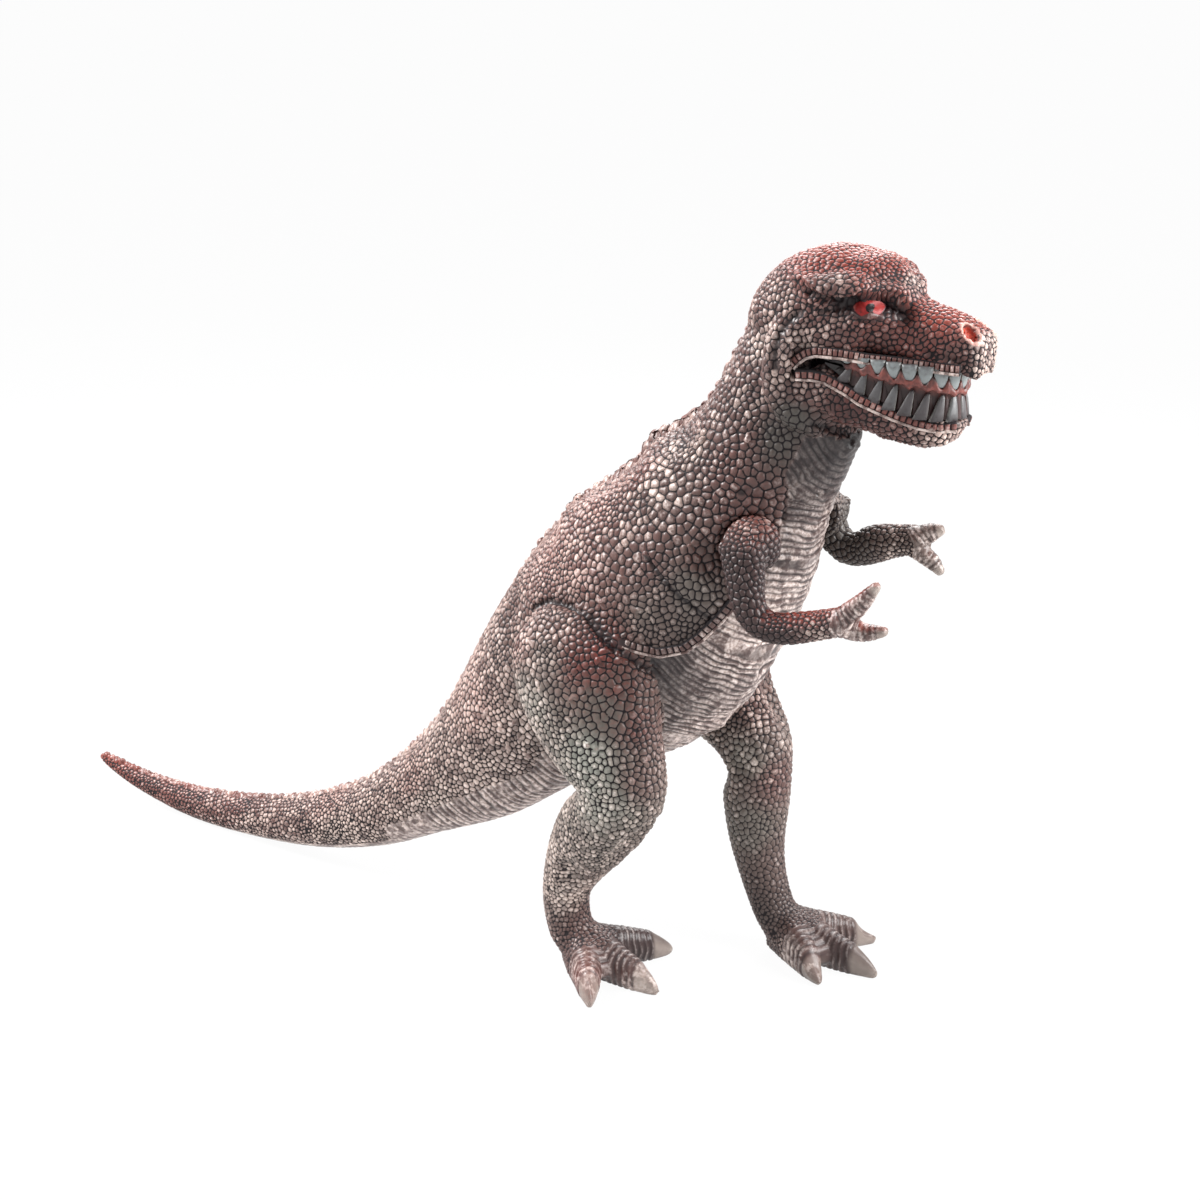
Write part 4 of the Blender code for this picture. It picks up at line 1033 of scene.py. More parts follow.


# The skin's paint
# Pale vinyl with a dark wash wiped into its grooves, rusty red dusted from above along the
# head, back, tail and thigh, a mossy grey on the legs, and the belly left pale. Painted shade
# lies in the creases, hollows and folds and under the jaw, and painted highlights on the crowns
# of scales and folds.
PAINT_SPOTS = (
    # places in the picture, then how red, how mossy and how pale, or below 0 how dark, it is; the
    # dark under the jaw, on the neck's front, in the armpit and low on the flank is partly painted
    # shade
    (105, 757, 0.75, 0.0, 0.0), (170, 785, 0.55, 0.0, 0.15), (240, 800, 0.5, 0.0, 0.2),
    (250, 830, 0.3, 0.0, 0.5), (330, 800, 0.5, 0.0, 0.45), (340, 835, 0.1, 0.1, 0.6),
    (410, 780, 0.45, 0.0, 0.55), (430, 810, 0.1, 0.2, 0.6), (470, 700, 0.45, 0.0, 0.65),
    (500, 770, 0.2, 0.1, 0.55), (520, 640, 0.45, 0.0, 0.52), (540, 740, 0.15, 0.3, 0.45),
    (550, 560, 0.55, 0.0, 0.48), (600, 500, 0.6, 0.0, 0.52), (640, 470, 0.5, 0.0, 0.2),
    (700, 420, 0.35, 0.0, 0.15), (740, 360, 0.3, 0.0, 0.1), (660, 490, 0.1, 0.0, 0.5),
    (640, 540, 0.3, 0.0, 0.2), (690, 450, 0.1, 0.0, 0.45), (730, 470, 0.35, 0.0, -0.1),
    (700, 560, 0.35, 0.1, -0.3), (650, 620, 0.2, 0.2, 0.0), (690, 590, 0.1, 0.3, -0.2),
    (640, 560, 0.3, 0.0, 0.0), (740, 500, 0.3, 0.0, -0.25), (700, 640, 0.1, 0.2, -0.2),
    (580, 570, 0.5, 0.0, 0.5), (560, 620, 0.4, 0.1, 0.35), (600, 650, 0.6, 0.0, -0.9),
    (580, 660, 0.5, 0.0, -0.45), (545, 660, 0.3, 0.3, 0.3), (530, 700, 0.2, 0.5, 0.55),
    (600, 710, 0.35, 0.4, -0.6), (620, 690, 0.5, 0.2, -0.65), (640, 730, 0.4, 0.1, -0.5),
    (590, 760, 0.05, 0.8, 0.6), (640, 780, 0.35, 0.2, -0.1), (600, 800, 0.0, 0.7, 0.7),
    (570, 840, 0.0, 0.3, 0.5), (560, 890, 0.1, 0.2, 0.65), (590, 930, 0.2, 0.0, -0.1),
    (620, 960, 0.2, 0.0, -0.45), (580, 980, 0.5, 0.0, 0.1), (640, 935, 0.1, 0.0, -1.0),
    (655, 945, 0.1, 0.0, -1.0), (668, 950, 0.0, 0.0, -1.0), (845, 945, 0.1, 0.0, -0.6),
    (790, 955, 0.1, 0.0, 0.5), (640, 985, 0.1, 0.0, 0.5),
    (760, 700, 0.3, 0.0, 0.25), (745, 760, 0.1, 0.4, 0.25),
    (775, 780, 0.3, 0.0, -0.05), (745, 830, 0.1, 0.4, -0.1), (775, 860, 0.2, 0.1, -0.25),
    (775, 910, 0.1, 0.1, -0.4), (810, 935, 0.2, 0.0, -0.4), (780, 300, 0.35, 0.0, 0.35),
    (760, 350, 0.15, 0.0, 0.35), (750, 400, 0.2, 0.0, 0.2), (775, 440, 0.2, 0.2, -0.8),
    (790, 420, 0.1, 0.2, -0.8), (745, 440, 0.3, 0.0, 0.0), (820, 255, 1.3, 0.0, -0.15),
    (860, 262, 1.6, 0.0, -0.4), (900, 262, 1.2, 0.0, 0.0), (915, 280, 0.3, 0.0, 0.4),
    (880, 280, 0.6, 0.0, 0.3), (835, 280, 0.3, 0.0, 0.15), (940, 312, 1.6, 0.0, -0.7),
    (970, 322, 1.1, 0.0, -0.1), (985, 350, 0.0, 0.0, 0.55), (985, 365, 0.0, 0.0, 0.58),
    (960, 355, 0.4, 0.0, -0.2), (920, 340, 0.6, 0.0, -0.2), (880, 340, 0.5, 0.0, -0.1),
    (830, 330, 0.35, 0.0, 0.2), (800, 345, 0.25, 0.0, 0.4), (785, 370, 0.2, 0.0, 0.4),
    (810, 385, 0.35, 0.0, 0.3), (850, 405, 0.4, 0.0, -0.9), (890, 430, 0.4, 0.0, -0.1),
    (940, 438, 0.3, 0.0, 0.6),
)
BELLY_PALE, BELLY_MOSS = 0.35, 0.05
# the shins' shallow scales, worn paler in the grooves
WORN_TO, WORN_EASE, WORN_SHARE = 78 * MM, 25 * MM, 0.14
VINYL = {
    "brown": rgb(84, 61, 57), "beige": rgb(182, 160, 150), "deep": rgb(50, 34, 33),
    "red": rgb(124, 50, 38), "moss": rgb(122, 128, 118), "wash_and_shade": rgb(20, 11, 15),
    "fold": rgb(46, 34, 33), "sheen": rgb(222, 208, 202), "claw": rgb(148, 136, 128),
    "pink": rgb(208, 160, 148), "raw": rgb(176, 60, 38),
}
BLOTCH, GRAIN = 7 * MM, 0.8 * MM

spots = [spot[:2] for spot in PAINT_SPOTS]
redness, mossiness, paleness = (
    spread_from(skin, spots, [spot[column] for spot in PAINT_SPOTS]) for column in (2, 3, 4)
)
skin.mark("red", redness * (1 - belly))
skin.mark("moss", mossiness * (1 - belly))
skin.marks["pale"] = paleness * (1 - belly) + BELLY_PALE * belly
skin.marks["moss"] += BELLY_MOSS * belly
worn = np.isin(skin.owner, [SKIN.index(name) for name in ("right_leg", "left_leg")])
worn = worn * softly((WORN_TO - skin.points[:, 2]) / WORN_EASE) * (1 - skin.smooth)
skin.marks["edge"] += (1 - skin.marks["edge"]) * WORN_SHARE * worn

skin_paint, tree, surface = paint("painted_skin")


def mark_fields(tree, names):
    return [tree.node("ShaderNodeAttribute", {"attribute_name": name}, None, 2) for name in names]


def mottle(tree, size, detail=4.0):
    """Uneven blotches of this size, from 0 to 1."""
    place = tree.node("ShaderNodeTexCoord", None, None, 3)
    sockets = {"Scale": 1 / size, "Detail": detail, "Vector": place}
    return tree.node("ShaderNodeTexNoise", None, sockets)


def embossed(tree, strength, depth, height, surface):
    """Roughens a surface by a bump of this height field."""
    sockets = {"Strength": strength, "Distance": depth, "Height": height}
    tree.node("ShaderNodeBump", None, sockets).into(surface, "Normal")


edge, tone, shade, red, moss, pale, horn, raw, pink, fold, step = mark_fields(tree, MARKS)
wave = (step * math.pi).maths("SINE").maths("ABSOLUTE")
blotch = mottle(tree, BLOTCH, 3.0)
grain = mottle(tree, GRAIN)
# worn vinyl, lighter and darker from scale to scale and from patch to patch
lit = pale - 0.04 + (tone - 0.5) * 0.75 + (blotch - 0.5) * (0.7 - fold * 0.65) + (grain - 0.5) * 0.5
lit = lit.between(0.0, 0.95)
colour = lit.over(VINYL["brown"], VINYL["beige"])
# below 0 the pale mark paints the skin deep brown, partly painted shade under the jaw and neck, in the
# armpit and in the folds
colour = (pale * -1.3).between(0.0, 1.0).over(colour, VINYL["deep"])
# moss grey and the rusty dusting
colour = (moss * (blotch + 0.45)).over(colour, VINYL["moss"])
rusty = red * (grain * 1.3 + blotch * 0.5) + (tone - 0.5) * 0.25 * red
colour = rusty.between(0.12, 1.0).over(colour, VINYL["red"])
# the crowns of scales dry-brushed pale with a painted sheen, and a painted highlight on the
# crowns of folds and ribs
dry_brush_and_sheen = edge.between(0.7, 1.0) * grain.between(0.35, 0.65) * (pale * 0.7 + (tone - 0.35) * 0.7)
crown = fold * wave.between(0.80, 1.0) * grain.between(0.3, 0.6)
colour = (dry_brush_and_sheen.maths("MAXIMUM", dry_brush_and_sheen, 0) + crown * 0.32).over(colour, VINYL["sheen"])
# painted shade in the valleys of folds and ribs, then the dark wash wiped into the grooves
colour = (fold * (1 - wave.between(0.0, 0.95))).over(colour, VINYL["fold"])
wiped = (edge + (grain - 0.5) * 0.3).between(0.12, 0.50)
colour = (1 - wiped).over(colour, VINYL["wash_and_shade"])
# painted shade with the dark wash in creases and hollows, round the eyes, under the jaw and by the rows
colour = (shade * 0.88).between(0.0, 1.0).over(colour, VINYL["wash_and_shade"])
# claws, and the nostrils with their rims
colour = (horn * (blotch + 0.25)).over(colour, VINYL["claw"])
colour = raw.between(0.2, 0.8).over(colour, VINYL["raw"])
colour = pink.between(0.2, 0.8).over(colour, VINYL["pink"])
colour.into(surface, "Base Color")
(0.80 - wiped * 0.42 + (grain - 0.5) * 0.2).into(surface, "Roughness")
embossed(tree, 0.6, 0.12 * MM, grain * 0.6 + edge.between(0.0, 0.8), surface)
surface.inputs["Specular IOR Level"].default_value = 0.42


# The skin's pieces
# The one moulding is handed over in the parts that the rigid model has, cut where they meet,
# with the light running over the cuts unbroken.
def finished(name, points, faces, marks, material, replaced, body):
    """A smooth piece with its marks for the paint, on one body of the frame."""
    mesh = plain_mesh(name, points, faces)
    mesh.shade_smooth()
    for mark, values in marks.items():
        layer = mesh.attributes.new(mark, "FLOAT", "POINT")
        layer.data.foreach_set("value", np.asarray(values, dtype=np.float32))
    mesh.materials.append(material)
    piece = bpy.data.objects.new(name, mesh)
    scene.collection.objects.link(piece)
    if replaced:
        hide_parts(*replaced)
    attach(piece, body)
    return piece


def hand_over(shell, name, owners, body):
    """Makes a piece of the shell's squares that belong to these rigid pieces."""
    wanted = np.isin(shell.owner[shell.squares].max(axis=1), [shell.names.index(o) for o in owners])
    squares = shell.squares[wanted]
    used, packed = np.unique(squares, return_inverse=True)
    rows = packed.reshape(squares.shape)
    faces = [row if row[2] != row[3] else row[:3] for row in rows.tolist()]
    marks = {mark: values[used] for mark, values in shell.marks.items()}
    replaced = [owner for owner in owners if not owner.endswith("eye")]
    points = shell.points[used].tolist()
    piece = finished(name, points, faces, marks, skin_paint, replaced, body)
    piece.data.normals_split_custom_set_from_vertices(shell.outward[used].tolist())


skin.turned()
HEAD = ("head", "lower_jaw", "right_eye", "left_eye")
hand_over(skin, "trunk_skin", ("body",), "figure")
hand_over(skin, "belly_skin", ("belly_panel",), "figure")
hand_over(skin, "tail_skin", ("tail",), "figure")
hand_over(skin, "head_skin", HEAD, "figure")
hand_over(skin, "right_leg_skin", ("right_leg",), "figure")
hand_over(skin, "left_leg_skin", ("left_leg",), "figure")


# The rows of square scales
# Along both lips and the flank's hem: small cushions side by side above a thin worn bead,
# moulded as one strip that is half sunk into the skin.
# the strip's section, in mm up from the bead and out from the skin: the bead, the row and the
# back; then how much of a cushion, of the bead and of painted shade with the wash each part has
SECTION = (
    (-0.42, -0.2, 0, 0, 1), (-0.34, 0.26, 0, 1, 0), (0.0, 0.46, 0, 1, 0), (0.30, 0.24, 0, 1, 0),
    (0.44, 0.0, 0, 0, 1), (0.62, 0.0, 0.75, 0, 0), (0.85, 0.0, 1, 0, 0), (1.35, 0.0, 1, 0, 0),
    (1.80, 0.0, 1, 0, 0), (2.05, 0.0, 0.75, 0, 0), (2.25, 0.0, 0, 0, 1), (2.45, -0.5, 0, 0, 1),
    (2.3, -1.5, 0, 0, 1), (-0.2, -1.5, 0, 0, 1),
)
# how high a cushion stands, in mm, and how far the upper lip's row tips upward
CUSHION, LIP_UPWARD = 0.42, 0.12
# how far along one cushion, and how high it stands there
ALONG = ((0.0, 0.0), (0.09, 0.1), (0.22, 0.9), (0.5, 1.0), (0.78, 0.9), (0.91, 0.1))
# the length of one cushion and how far the strip stands out, in mm, then how red and how pale
# the cushions are, and how pale the bead is
STRIPS = {
    "upper_lip": (UPPER_LIP, 1.30 * MM, 0.6, 0.5, 0.15, 0.5),
    "lower_lip": (LOWER_LIP, 1.55 * MM, 1.10, 0.6, 0.05, 0.6),
    "hem": (HEM, 1.75 * MM, 0.15, 0.15, 0.10, 0.4),
}
sculpted = BVHTree.FromPolygons(skin.points.tolist(), skin.squares.tolist())

for name, (pixels, length, proud, red_share, pale_share, bead_pale) in STRIPS.items():
    line, facing_way = row_path(pixels, BESIDE[name], sculpted)
    if name == "upper_lip":
        facing_way[:, 2] = LIP_UPWARD
    walked = walked_along(line)
    cushions = int(walked[-1] / length)
    tones = np.random.default_rng(17).random(cushions)
    stations = [(number + share, height) for number in range(cushions) for share, height in ALONG]
    points, faces = [], []
    marks = {"edge": [], "tone": [], "red": [], "pale": [], "shade": []}
    for at, height in stations:
        far = at * walked[-1] / cushions
        base = Vector(place_at(far, walked, line))
        outward = Vector(place_at(far, walked, facing_way))
        onward = Vector(place_at(far + length, walked, line)) - base
        if far + length > walked[-1]:
            onward = base - Vector(place_at(far - length, walked, line))
        upward = outward.cross(onward).normalized()
        for up, out, cushion, bead, washed_and_shaded in SECTION:
            stands = out + proud + CUSHION * cushion * height
            points.append(base + upward * up * MM + outward * stands * MM)
            paleness = bead_pale if bead else pale_share
            values = (bead + cushion * height, tones[int(at)], red_share * (1 - bead), paleness, washed_and_shaded)
            for mark, value in zip(marks, values):
                marks[mark].append(value)
    width = len(SECTION)
    for station in range(len(stations) - 1):
        for side in range(width):
            a, b = station * width + side, station * width + (side + 1) % width
            faces.append((a, a + width, b + width, b))
    faces.append(tuple(range(width)))
    faces.append(tuple(range((len(stations) - 1) * width, len(stations) * width))[::-1])
    count = len(points)
    points += [Vector(place) for place in other_side(np.array(points))]
    faces += [tuple(corner + count for corner in reversed(face)) for face in faces]
    marks = {mark: values * 2 for mark, values in marks.items()}
    finished(name + "_row", points, faces, marks, skin_paint, (), "figure")


# The arms
# Two small mouldings that turn on pegs in the shoulders, scaled and painted like the body but
# finer, redder on top, with bare ribbed fingers.
ARM_SQUARE = 0.70 * MM
SHOULDER_SCALE, WRIST_SCALE = 2.1 * MM, 1.3 * MM
ARM_MOVES = {
    "right": ((820, 612, 820, 615, 10), (855, 620, 855, 624, 12)),
    "left": ((893, 530, 893, 534, 9), (925, 545, 925, 549, 9)),
}
FINGERS = {
    "right": (
        ((808, 627), (836, 622), (860, 606), (880, 588)),
        ((808, 627), (838, 629), (863, 632), (886, 631)),
    ),
    "left": (
        ((900, 546), (914, 538), (928, 529), (941, 526)),
        ((900, 546), (916, 550), (930, 560), (940, 573)),
    ),
}
FINGER_REACH, FINGER_PITCH, FINGER_DEPTH = 4.0 * MM, 1.5 * MM, 0.22 * MM
FINGER_BARE_FROM, NAIL_SHARE = 0.22, 0.14
# how far forward the elbow is and how softly the forearm's paint begins there
ELBOW_SHARE, ELBOW_EASE = 0.45, 0.2
SHOULDER_DROP = 8 * MM
ARM_RED = {"right": 1.0, "left": 0.45}
SHOULDER_SPOTS = {"right": ((742, 545), (760, 548), (750, 560)), "left": ((846, 540),)}
SHOULDER_REACH = 6.0 * MM


def along_fingers(arm, lines):
    """How far each point is along the nearest finger, as a share and as a length."""
    closest = np.full(len(arm.points), FINGER_REACH)
    share = np.zeros(len(arm.points))
    walked = np.zeros(len(arm.points))
    for pixels in lines:
        line = line_on(pixels, arm.surface)
        length = walked_along(line)[-1]
        near, gap, along, _ = measured(arm.points, line, FINGER_REACH)
        nearer = gap < closest[near]
        near, gap, along = near[nearer], gap[nearer], along[nearer]
        closest[near], share[near], walked[near] = gap, along / length, along
    return share, walked


for side in ("right", "left"):
    arm = Skin((side + "_arm",), ARM_SQUARE)
    drawn(arm, ARM_MOVES[side], False)
    smoothed(arm, SHOULDER_SPOTS[side], SHOULDER_REACH, False)
    along = along_fingers(arm, FINGERS[side])
    ribbed(arm, *along, FINGER_BARE_FROM, FINGER_PITCH, FINGER_DEPTH, NAIL_SHARE)
    low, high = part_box(side + "_arm")
    onward = np.clip((arm.points[:, 0] - low.x) / (high.x - low.x), 0, 1)
    scaled(arm, SHOULDER_SCALE + (WRIST_SCALE - SHOULDER_SCALE) * onward, 21)
    arm.turned()
    forward = softly((onward - ELBOW_SHARE) / ELBOW_EASE)
    on_top = softly(arm.outward[:, 2] * 1.2)
    on_shoulder = softly((arm.points[:, 2] - high.z) / SHOULDER_DROP + 1)
    dusted = on_top * (0.3 + 0.5 * softly(onward * 2.5 - 0.4)) + 0.2 * on_shoulder
    arm.marks["red"] = dusted * ARM_RED[side]
    arm.marks["moss"] = np.full(len(onward), 1 - ARM_RED[side]) * 0.3
    underside = softly(0.6 - arm.outward[:, 2])
    arm.marks["pale"] = 0.25 * forward * underside - 0.6 * (1 - forward) + 0.75 * on_shoulder
    hand_over(arm, side + "_arm_skin", (side + "_arm",), side + "_arm")


# The teeth and gums
# Broad blades above and pointed cones below, moulded in relief on a gum wall that closes the
# mouth, brushed pale blue-grey with painted highlights down their edges, the lower row darker
# with painted shade, and orange-red left where the two rows meet, with painted shade at the
# back of the mouth.
TOOTH_SIDES = 12
TOOTH_THICKNESS = 1.7 * MM
TOOTH_SET = -0.15 * MM
ROW_PITCH = 3.85 * MM
ROW_TURN = math.radians(98)
# how far along a tooth, then its width at the back and at the front of the mouth and its
# thickness there, all as shares
BLADE = ((0.0, 1.0, 1.0, 1.0), (0.35, 0.84, 0.96, 1.0), (0.62, 0.58, 0.86, 0.95),
         (0.84, 0.34, 0.72, 0.8), (0.95, 0.20, 0.58, 0.5), (1.0, 0.08, 0.40, 0.2))
CONE = ((0.0, 1.0, 1.0, 1.0), (0.3, 0.78, 0.84, 0.95), (0.65, 0.48, 0.60, 0.8),
        (0.88, 0.26, 0.40, 0.5), (0.97, 0.14, 0.26, 0.3), (1.0, 0.05, 0.10, 0.1))
BLADE_WIDTH, CONE_WIDTH = 0.99, 0.92
# how far the lower teeth lean forward, where the furthest back tooth is seen, and how far the
# tips stand past the gums at the back of the mouth and how much less they do in front
LEAN = 1.9 * MM
BACK_TOOTH = (845, 362)
UPPER_TIPS, LOWER_TIPS = (-0.6 * MM, 2.4 * MM), (-1.2 * MM, 3.2 * MM)
# the jaws' hinge side as the middle of each row's sweep, how wide a slice is looked at on the
# way round, and how deep the teeth go in it
SWEEP_FROM, SLICE, SLICE_DEPTH, SLICES = 4 * MM, math.radians(7), 2.5 * MM, 45
EVENING_ROUNDS = 6
CORNERED = 0.65


def row_round(name):
    """The row's path round the jaw, with the height of its top and its foot on the way."""
    points = points_of(frame["nodes"][name].data)
    low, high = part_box(name)
    centre = np.array([low.x + SWEEP_FROM, MIDDLE])
    spread = points[:, :2] - centre
    turned = np.arctan2(spread[:, 1], spread[:, 0])
    reach = np.linalg.norm(spread, axis=1)
    rows = []
    for turn in np.linspace(-ROW_TURN, ROW_TURN, SLICES):
        near = np.abs(turned - turn) < SLICE
        far = reach[near].max()
        outer = near & (reach > far - SLICE_DEPTH)
        edge = centre + far * np.array([math.cos(turn), math.sin(turn)])
        rows.append((*edge, points[outer, 2].max(), points[outer, 2].min()))
    rows = np.array(rows)
    for _ in range(EVENING_ROUNDS):
        rows[1:-1] = (rows[:-2] + 2 * rows[1:-1] + rows[2:]) / 4
    return rows


def squared(share):
    """Fills a round section out towards a square one."""
    return math.copysign(abs(share) ** CORNERED, share)


def forward_share(path):
    """How far forward in the mouth places are, 0 at the back tooth and 1 at the front."""
    return (path[:, 0] - back_x) / (path[:, 0].max() - back_x)


def ringed(first, rings, sides, turn):
    """The faces round and at both ends of a row of rings of points."""
    faces = []
    for ring in range(rings - 1):
        for side in range(sides):
            a = first + ring * sides + side
            b = first + ring * sides + (side + 1) % sides
            faces.append((a, b, b + sides, a + sides)[::turn])
    top = first + (rings - 1) * sides
    faces.append(tuple(range(first, first + sides))[::-turn])
    faces.append(tuple(range(top, top + sides))[::turn])
    return faces


def tooth_row(name, path, count_from, root, tip, form, width_share, lean, brush_and_shade_range):
    """One object of separate teeth along a path, from root height to tip height."""
    walked = walked_along(path[:, :2])
    count = int(walked[-1] / ROW_PITCH)
    pitch = walked[-1] / count
    points, faces = [], []
    marks = {"share": [], "side": [], "brush_and_shade": []}
    chance = np.random.default_rng(31)
    for number in range(count):
        at = (number + count_from) * pitch
        if at > walked[-1]:
            continue
        x, y = place_at(at, walked, path[:, :2])
        brush_and_shade = chance.uniform(*brush_and_shade_range)
        if x < back_x:
            continue
        start, end = np.interp(at, walked, root), np.interp(at, walked, tip)
        ahead, behind = (place_at(at + way * pitch / 4, walked, path[:, :2]) for way in (1, -1))
        along = Vector((*(ahead - behind), 0)).normalized()
        out = along.cross(Vector((0, 0, 1)))
        foot = len(points)
        forward = along * max(-1, min(1, (MIDDLE - y) / (8 * MM)))
        frontal = (x - back_x) / (path[:, 0].max() - back_x)
        for share, wide_behind, wide_before, thick in form:
            wide = wide_behind + (wide_before - wide_behind) * frontal
            middle = Vector((x, y, start + (end - start) * share)) + out * TOOTH_SET
            middle += forward * lean * (share - 0.5)
            middle -= out * share * TOOTH_THICKNESS / 4
            for side in range(TOOTH_SIDES):
                angle = 2 * math.pi * side / TOOTH_SIDES
                wide_by = squared(math.cos(angle)) * wide * width_share * pitch / 2
                thick_by = squared(math.sin(angle)) * thick * TOOTH_THICKNESS / 2
                points.append(middle + along * wide_by + out * thick_by)
                for mark, value in (("share", share), ("side", abs(math.cos(angle))), ("brush_and_shade", brush_and_shade)):
                    marks[mark].append(value)
        faces += ringed(foot, len(form), TOOTH_SIDES, 1 if end > start else -1)
    finished(name, points, faces, marks, tooth_paint, (), "figure")


tooth_paint, tree, surface = paint("tooth_paint")
share, side, brush_and_shade = mark_fields(tree, ("share", "side", "brush_and_shade"))
grain = mottle(tree, 1.0 * MM)
# paler towards the tip and from tooth to tooth; the lower row's low range is partly painted shade under
# the upper jaw
brushed_and_shaded = (share * 0.7 + (grain - 0.5) * 0.9 + 0.45).between(0.05, 0.9) * brush_and_shade
colour = brushed_and_shaded.over(rgb(52, 42, 44), rgb(130, 136, 136))
# a painted highlight down the teeth's side edges
colour = (side.between(0.75, 1.0) * grain.between(0.3, 0.6) * 0.45).over(colour, rgb(178, 176, 168))
colour.into(surface, "Base Color")
surface.inputs["Roughness"].default_value = 0.38
embossed(tree, 0.4, 0.1 * MM, grain, surface)

upper, lower = row_round("upper_teeth"), row_round("lower_teeth")
toward = np.array(sight(*BACK_TOOTH))
near_side = upper[upper[:, 1] < MIDDLE][:, :3] - camera.location
beside_ray = np.linalg.norm(near_side - np.outer(near_side @ toward, toward), axis=1)
back_x = near_side[beside_ray.argmin()][0] + camera.location.x
ahead = np.clip(forward_share(upper), 0, 1)
bite = upper[:, 3] - (UPPER_TIPS[0] + UPPER_TIPS[1] * ahead)
tooth_row("upper_tooth_row", upper, 0.5, upper[:, 2], bite, BLADE, BLADE_WIDTH, 0.0, (0.9, 1.05))
ahead = np.clip(forward_share(lower), 0, 1)
tips = lower[:, 2] - (LOWER_TIPS[0] + LOWER_TIPS[1] * ahead)
tooth_row("lower_tooth_row", lower, 0.0, lower[:, 3], tips, CONE, CONE_WIDTH, LEAN, (0.12, 0.36))

gum_paint, tree, surface = paint("gum_paint")
slope, level = np.polyfit(upper[:, 0], bite, 1)
place = tree.node("ShaderNodeSeparateXYZ", None, {0: tree.node("ShaderNodeTexCoord", None, None, 3)})
height = place.also("Z") - place * float(slope) - float(level)
grain = mottle(tree, 1.2 * MM)
near_bite = 1 - (height.maths("ABSOLUTE") * (1 / MM)).between(1.0, 3.0)
colour = (near_bite * (grain * 1.6).between(0.3, 1.1)).over(rgb(50, 28, 27), rgb(116, 58, 50))
# painted shade at the back of the mouth, behind the last tooth
behind = (back_x + 1.5 * MM - place) * (1 / MM)
colour = behind.between(0.0, 2.0).over(colour, rgb(24, 15, 16))
colour.into(surface, "Base Color")
surface.inputs["Roughness"].default_value = 0.4
embossed(tree, 0.4, 0.15 * MM, grain, surface)
for name in ("upper_teeth", "lower_teeth"):
    frame["nodes"][name].data.materials.clear()
    frame["nodes"][name].data.materials.append(gum_paint)

# The gum's wavy edge, which dips between the points of the upper teeth.
GUM_RADIUS, GUM_WAVE, GUM_SIDES = 0.8 * MM, 0.3 * MM, 10
GUM_UNEVEN, GUM_FLAT, GUM_WEDGE = 0.45, 0.65, 2.0 * MM
# how many rings there are to a wave, and how far to each side the edge's way is looked at
GUM_RINGS, GUM_LOOK = 12, 0.01
# how often its thickness changes in a wave, how thin it gets and over what length it fades out
GUM_BEATS, GUM_THIN, GUM_FADE = (7.7, 3.1), 0.15, 3 * MM
walked = walked_along(upper[:, :2])
waves = int(walked[-1] / ROW_PITCH)
points = []
stations = waves * GUM_RINGS
for station in range(stations + 1):
    share = station / stations
    behind, here, ahead = (
        place_at((share + way) * walked[-1], walked, upper[:, :2]) for way in (-GUM_LOOK, 0, GUM_LOOK)
    )
    x, y = here
    along = Vector((*(ahead - behind), 0)).normalized()
    out = along.cross(Vector((0, 0, 1)))
    level = np.interp(share * walked[-1], walked, bite)
    level += GUM_WAVE * math.cos(2 * math.pi * share * waves) - GUM_WAVE
    fast, slow = (math.sin(share * waves * beat) for beat in GUM_BEATS)
    thin = 1 + GUM_UNEVEN * fast * slow
    wedge = GUM_WEDGE * (0.5 + 0.5 * math.cos(2 * math.pi * share * waves)) ** 2
    thin *= max(GUM_THIN, min(1.0, (x - back_x) / GUM_FADE + 0.5))
    for side in range(GUM_SIDES):
        angle = 2 * math.pi * side / GUM_SIDES
        tall = GUM_RADIUS + (wedge if math.sin(angle) > 0 else 0)
        around = out * math.cos(angle) * GUM_RADIUS * GUM_FLAT
        around += Vector((0, 0, math.sin(angle))) * tall
        points.append(Vector((x, y, level)) + around * thin)
faces = ringed(0, stations + 1, GUM_SIDES, 1)
finished("gum_edge", points, faces, {}, gum_paint, (), "figure")


# The eyes
# Almond domes between the lids, painted glossy red with a round black pupil, paler corners and
# a dark line round the edge.
# the eye's middle, its half length and half height and its pupil, in points of the picture
EYE_MIDDLE, EYE_SPREAD, PUPIL_MIDDLE, PUPIL_RADIUS = (868, 308.7), (17.0, 9.4), (869.5, 308.5), 4.2
EYE_PROUD, EYE_LIFT, EYE_BACK = 0.7 * MM, 0.75 * MM, 2.2 * MM
# how sharply its front and rear corners are drawn to a point, and how far it is made flat
FRONT_POINTED, REAR_POINTED, EYE_FLAT = 0.12, 0.5, 0.6
EYE_RINGS, EYE_SPOKES = 10, 32

eye_paint, tree, surface = paint("eye_paint")
off, rim, corner = mark_fields(tree, ("off", "rim", "corner"))
blotch = mottle(tree, 1.5 * MM, 3.0)
colour = (blotch * 0.6).over(rgb(126, 26, 28), rgb(172, 62, 56))
colour = corner.between(0.70, 0.98).over(colour, rgb(180, 112, 104))
colour = (1 - off.between(0.9, 1.1)).over(colour, rgb(14, 10, 12))
colour = rim.between(0.88, 0.97).over(colour, rgb(40, 14, 18))
colour.into(surface, "Base Color")
surface.inputs["Roughness"].default_value = 0.42
surface.inputs["Specular IOR Level"].default_value = 0.25

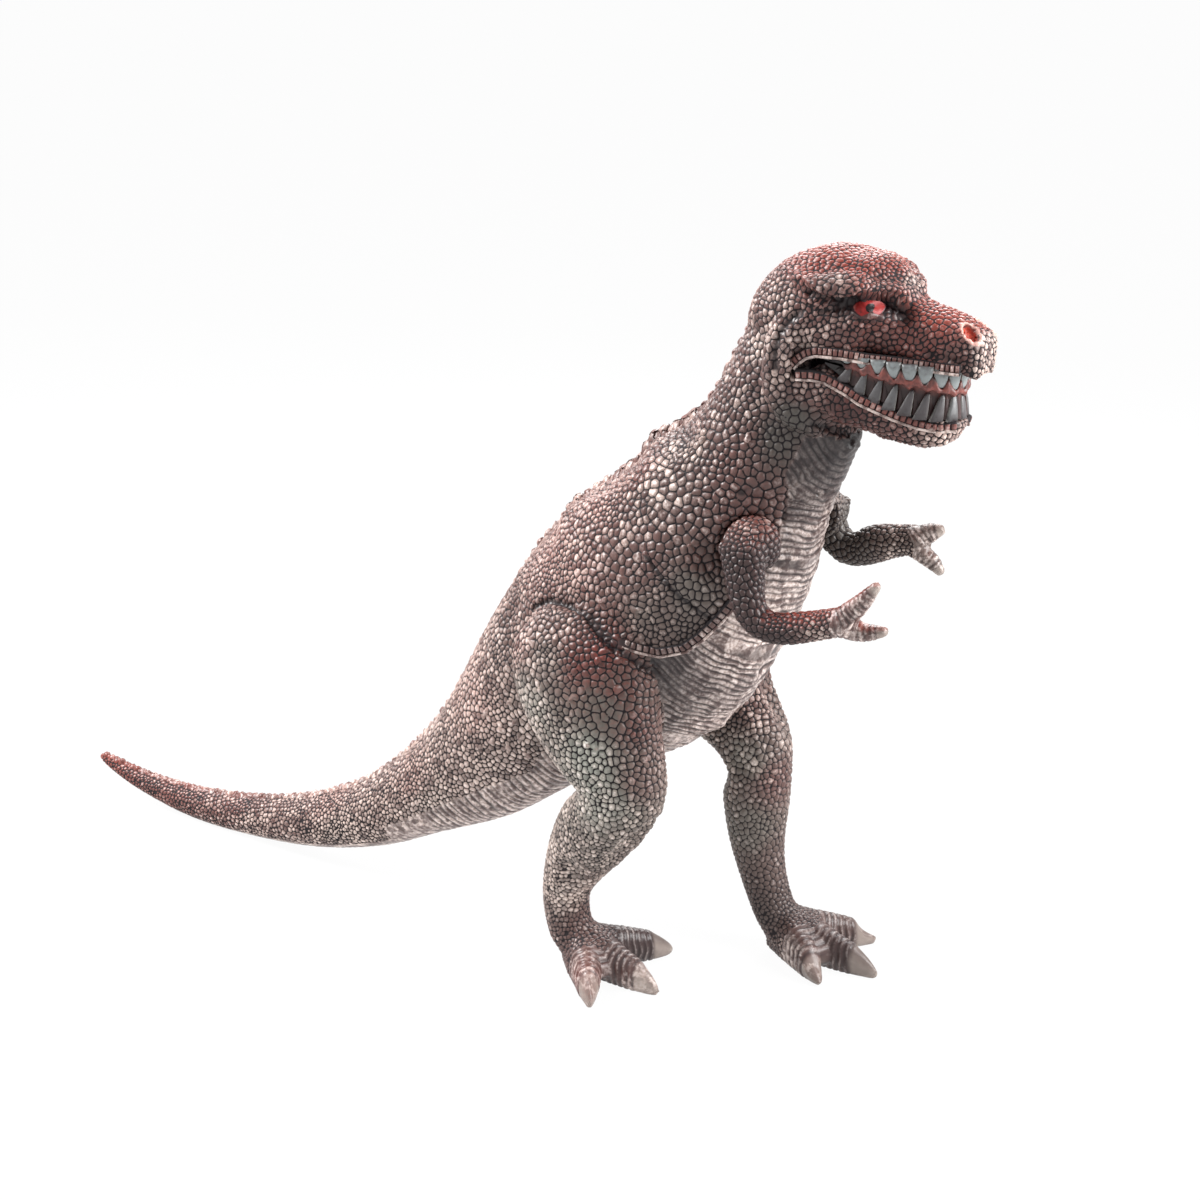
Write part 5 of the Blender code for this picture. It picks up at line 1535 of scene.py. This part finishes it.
front, marks = [], {"off": [], "rim": [], "corner": []}
for ring in range(EYE_RINGS, -1, -1):
    for spoke in range(EYE_SPOKES if ring else 1):
        angle = 2 * math.pi * spoke / EYE_SPOKES
        share = ring / EYE_RINGS
        pointed = REAR_POINTED if math.cos(angle) < 0 else FRONT_POINTED
        u = EYE_MIDDLE[0] + EYE_SPREAD[0] * share * math.cos(angle)
        v = EYE_MIDDLE[1] - EYE_SPREAD[1] * share * math.sin(angle) * abs(math.sin(angle)) ** pointed
        front.append(seen(u, v, sculpted))
        marks["off"].append(math.hypot(u - PUPIL_MIDDLE[0], v - PUPIL_MIDDLE[1]) / PUPIL_RADIUS)
        marks["rim"].append(share)
        marks["corner"].append(-share * math.cos(angle))
front = np.array(front)
across = front[EYE_SPOKES // 2] - front[0]
upward = front[EYE_SPOKES // 4] - front[3 * EYE_SPOKES // 4]
ahead = np.cross(upward, across)
ahead /= np.linalg.norm(ahead)
level = (front[:EYE_SPOKES].mean(axis=0) @ ahead) + EYE_LIFT
depth = np.array([EYE_PROUD * (1 - rim**2) for rim in marks["rim"]])
front += ((level - front @ ahead) * EYE_FLAT + depth)[:, None] * ahead
back = front[:EYE_SPOKES] - EYE_BACK * ahead
# the back of the dome, hidden in the skin, is all rim
for mark, value in (("off", 4.0), ("rim", 1.0), ("corner", 1.0)):
    marks[mark] += [value] * EYE_SPOKES
faces = []
for ring in range(EYE_RINGS - 1):
    for spoke in range(EYE_SPOKES):
        a, b = ring * EYE_SPOKES + spoke, ring * EYE_SPOKES + (spoke + 1) % EYE_SPOKES
        faces.append((a, b, b + EYE_SPOKES, a + EYE_SPOKES))
inner, top = (EYE_RINGS - 1) * EYE_SPOKES, len(front) - 1
for spoke in range(EYE_SPOKES):
    after = (spoke + 1) % EYE_SPOKES
    faces.append((inner + spoke, inner + after, top))
    faces.append((spoke, top + 1 + spoke, top + 1 + after, after))
faces.append(tuple(range(top + 1, top + 1 + EYE_SPOKES))[::-1])

for name, points in zip(("right_eye", "left_eye"), on_both(np.concatenate([front, back]))):
    finished(name + "_painted", points, faces, marks, eye_paint, (name,), "figure")
    faces = [face[::-1] for face in faces]
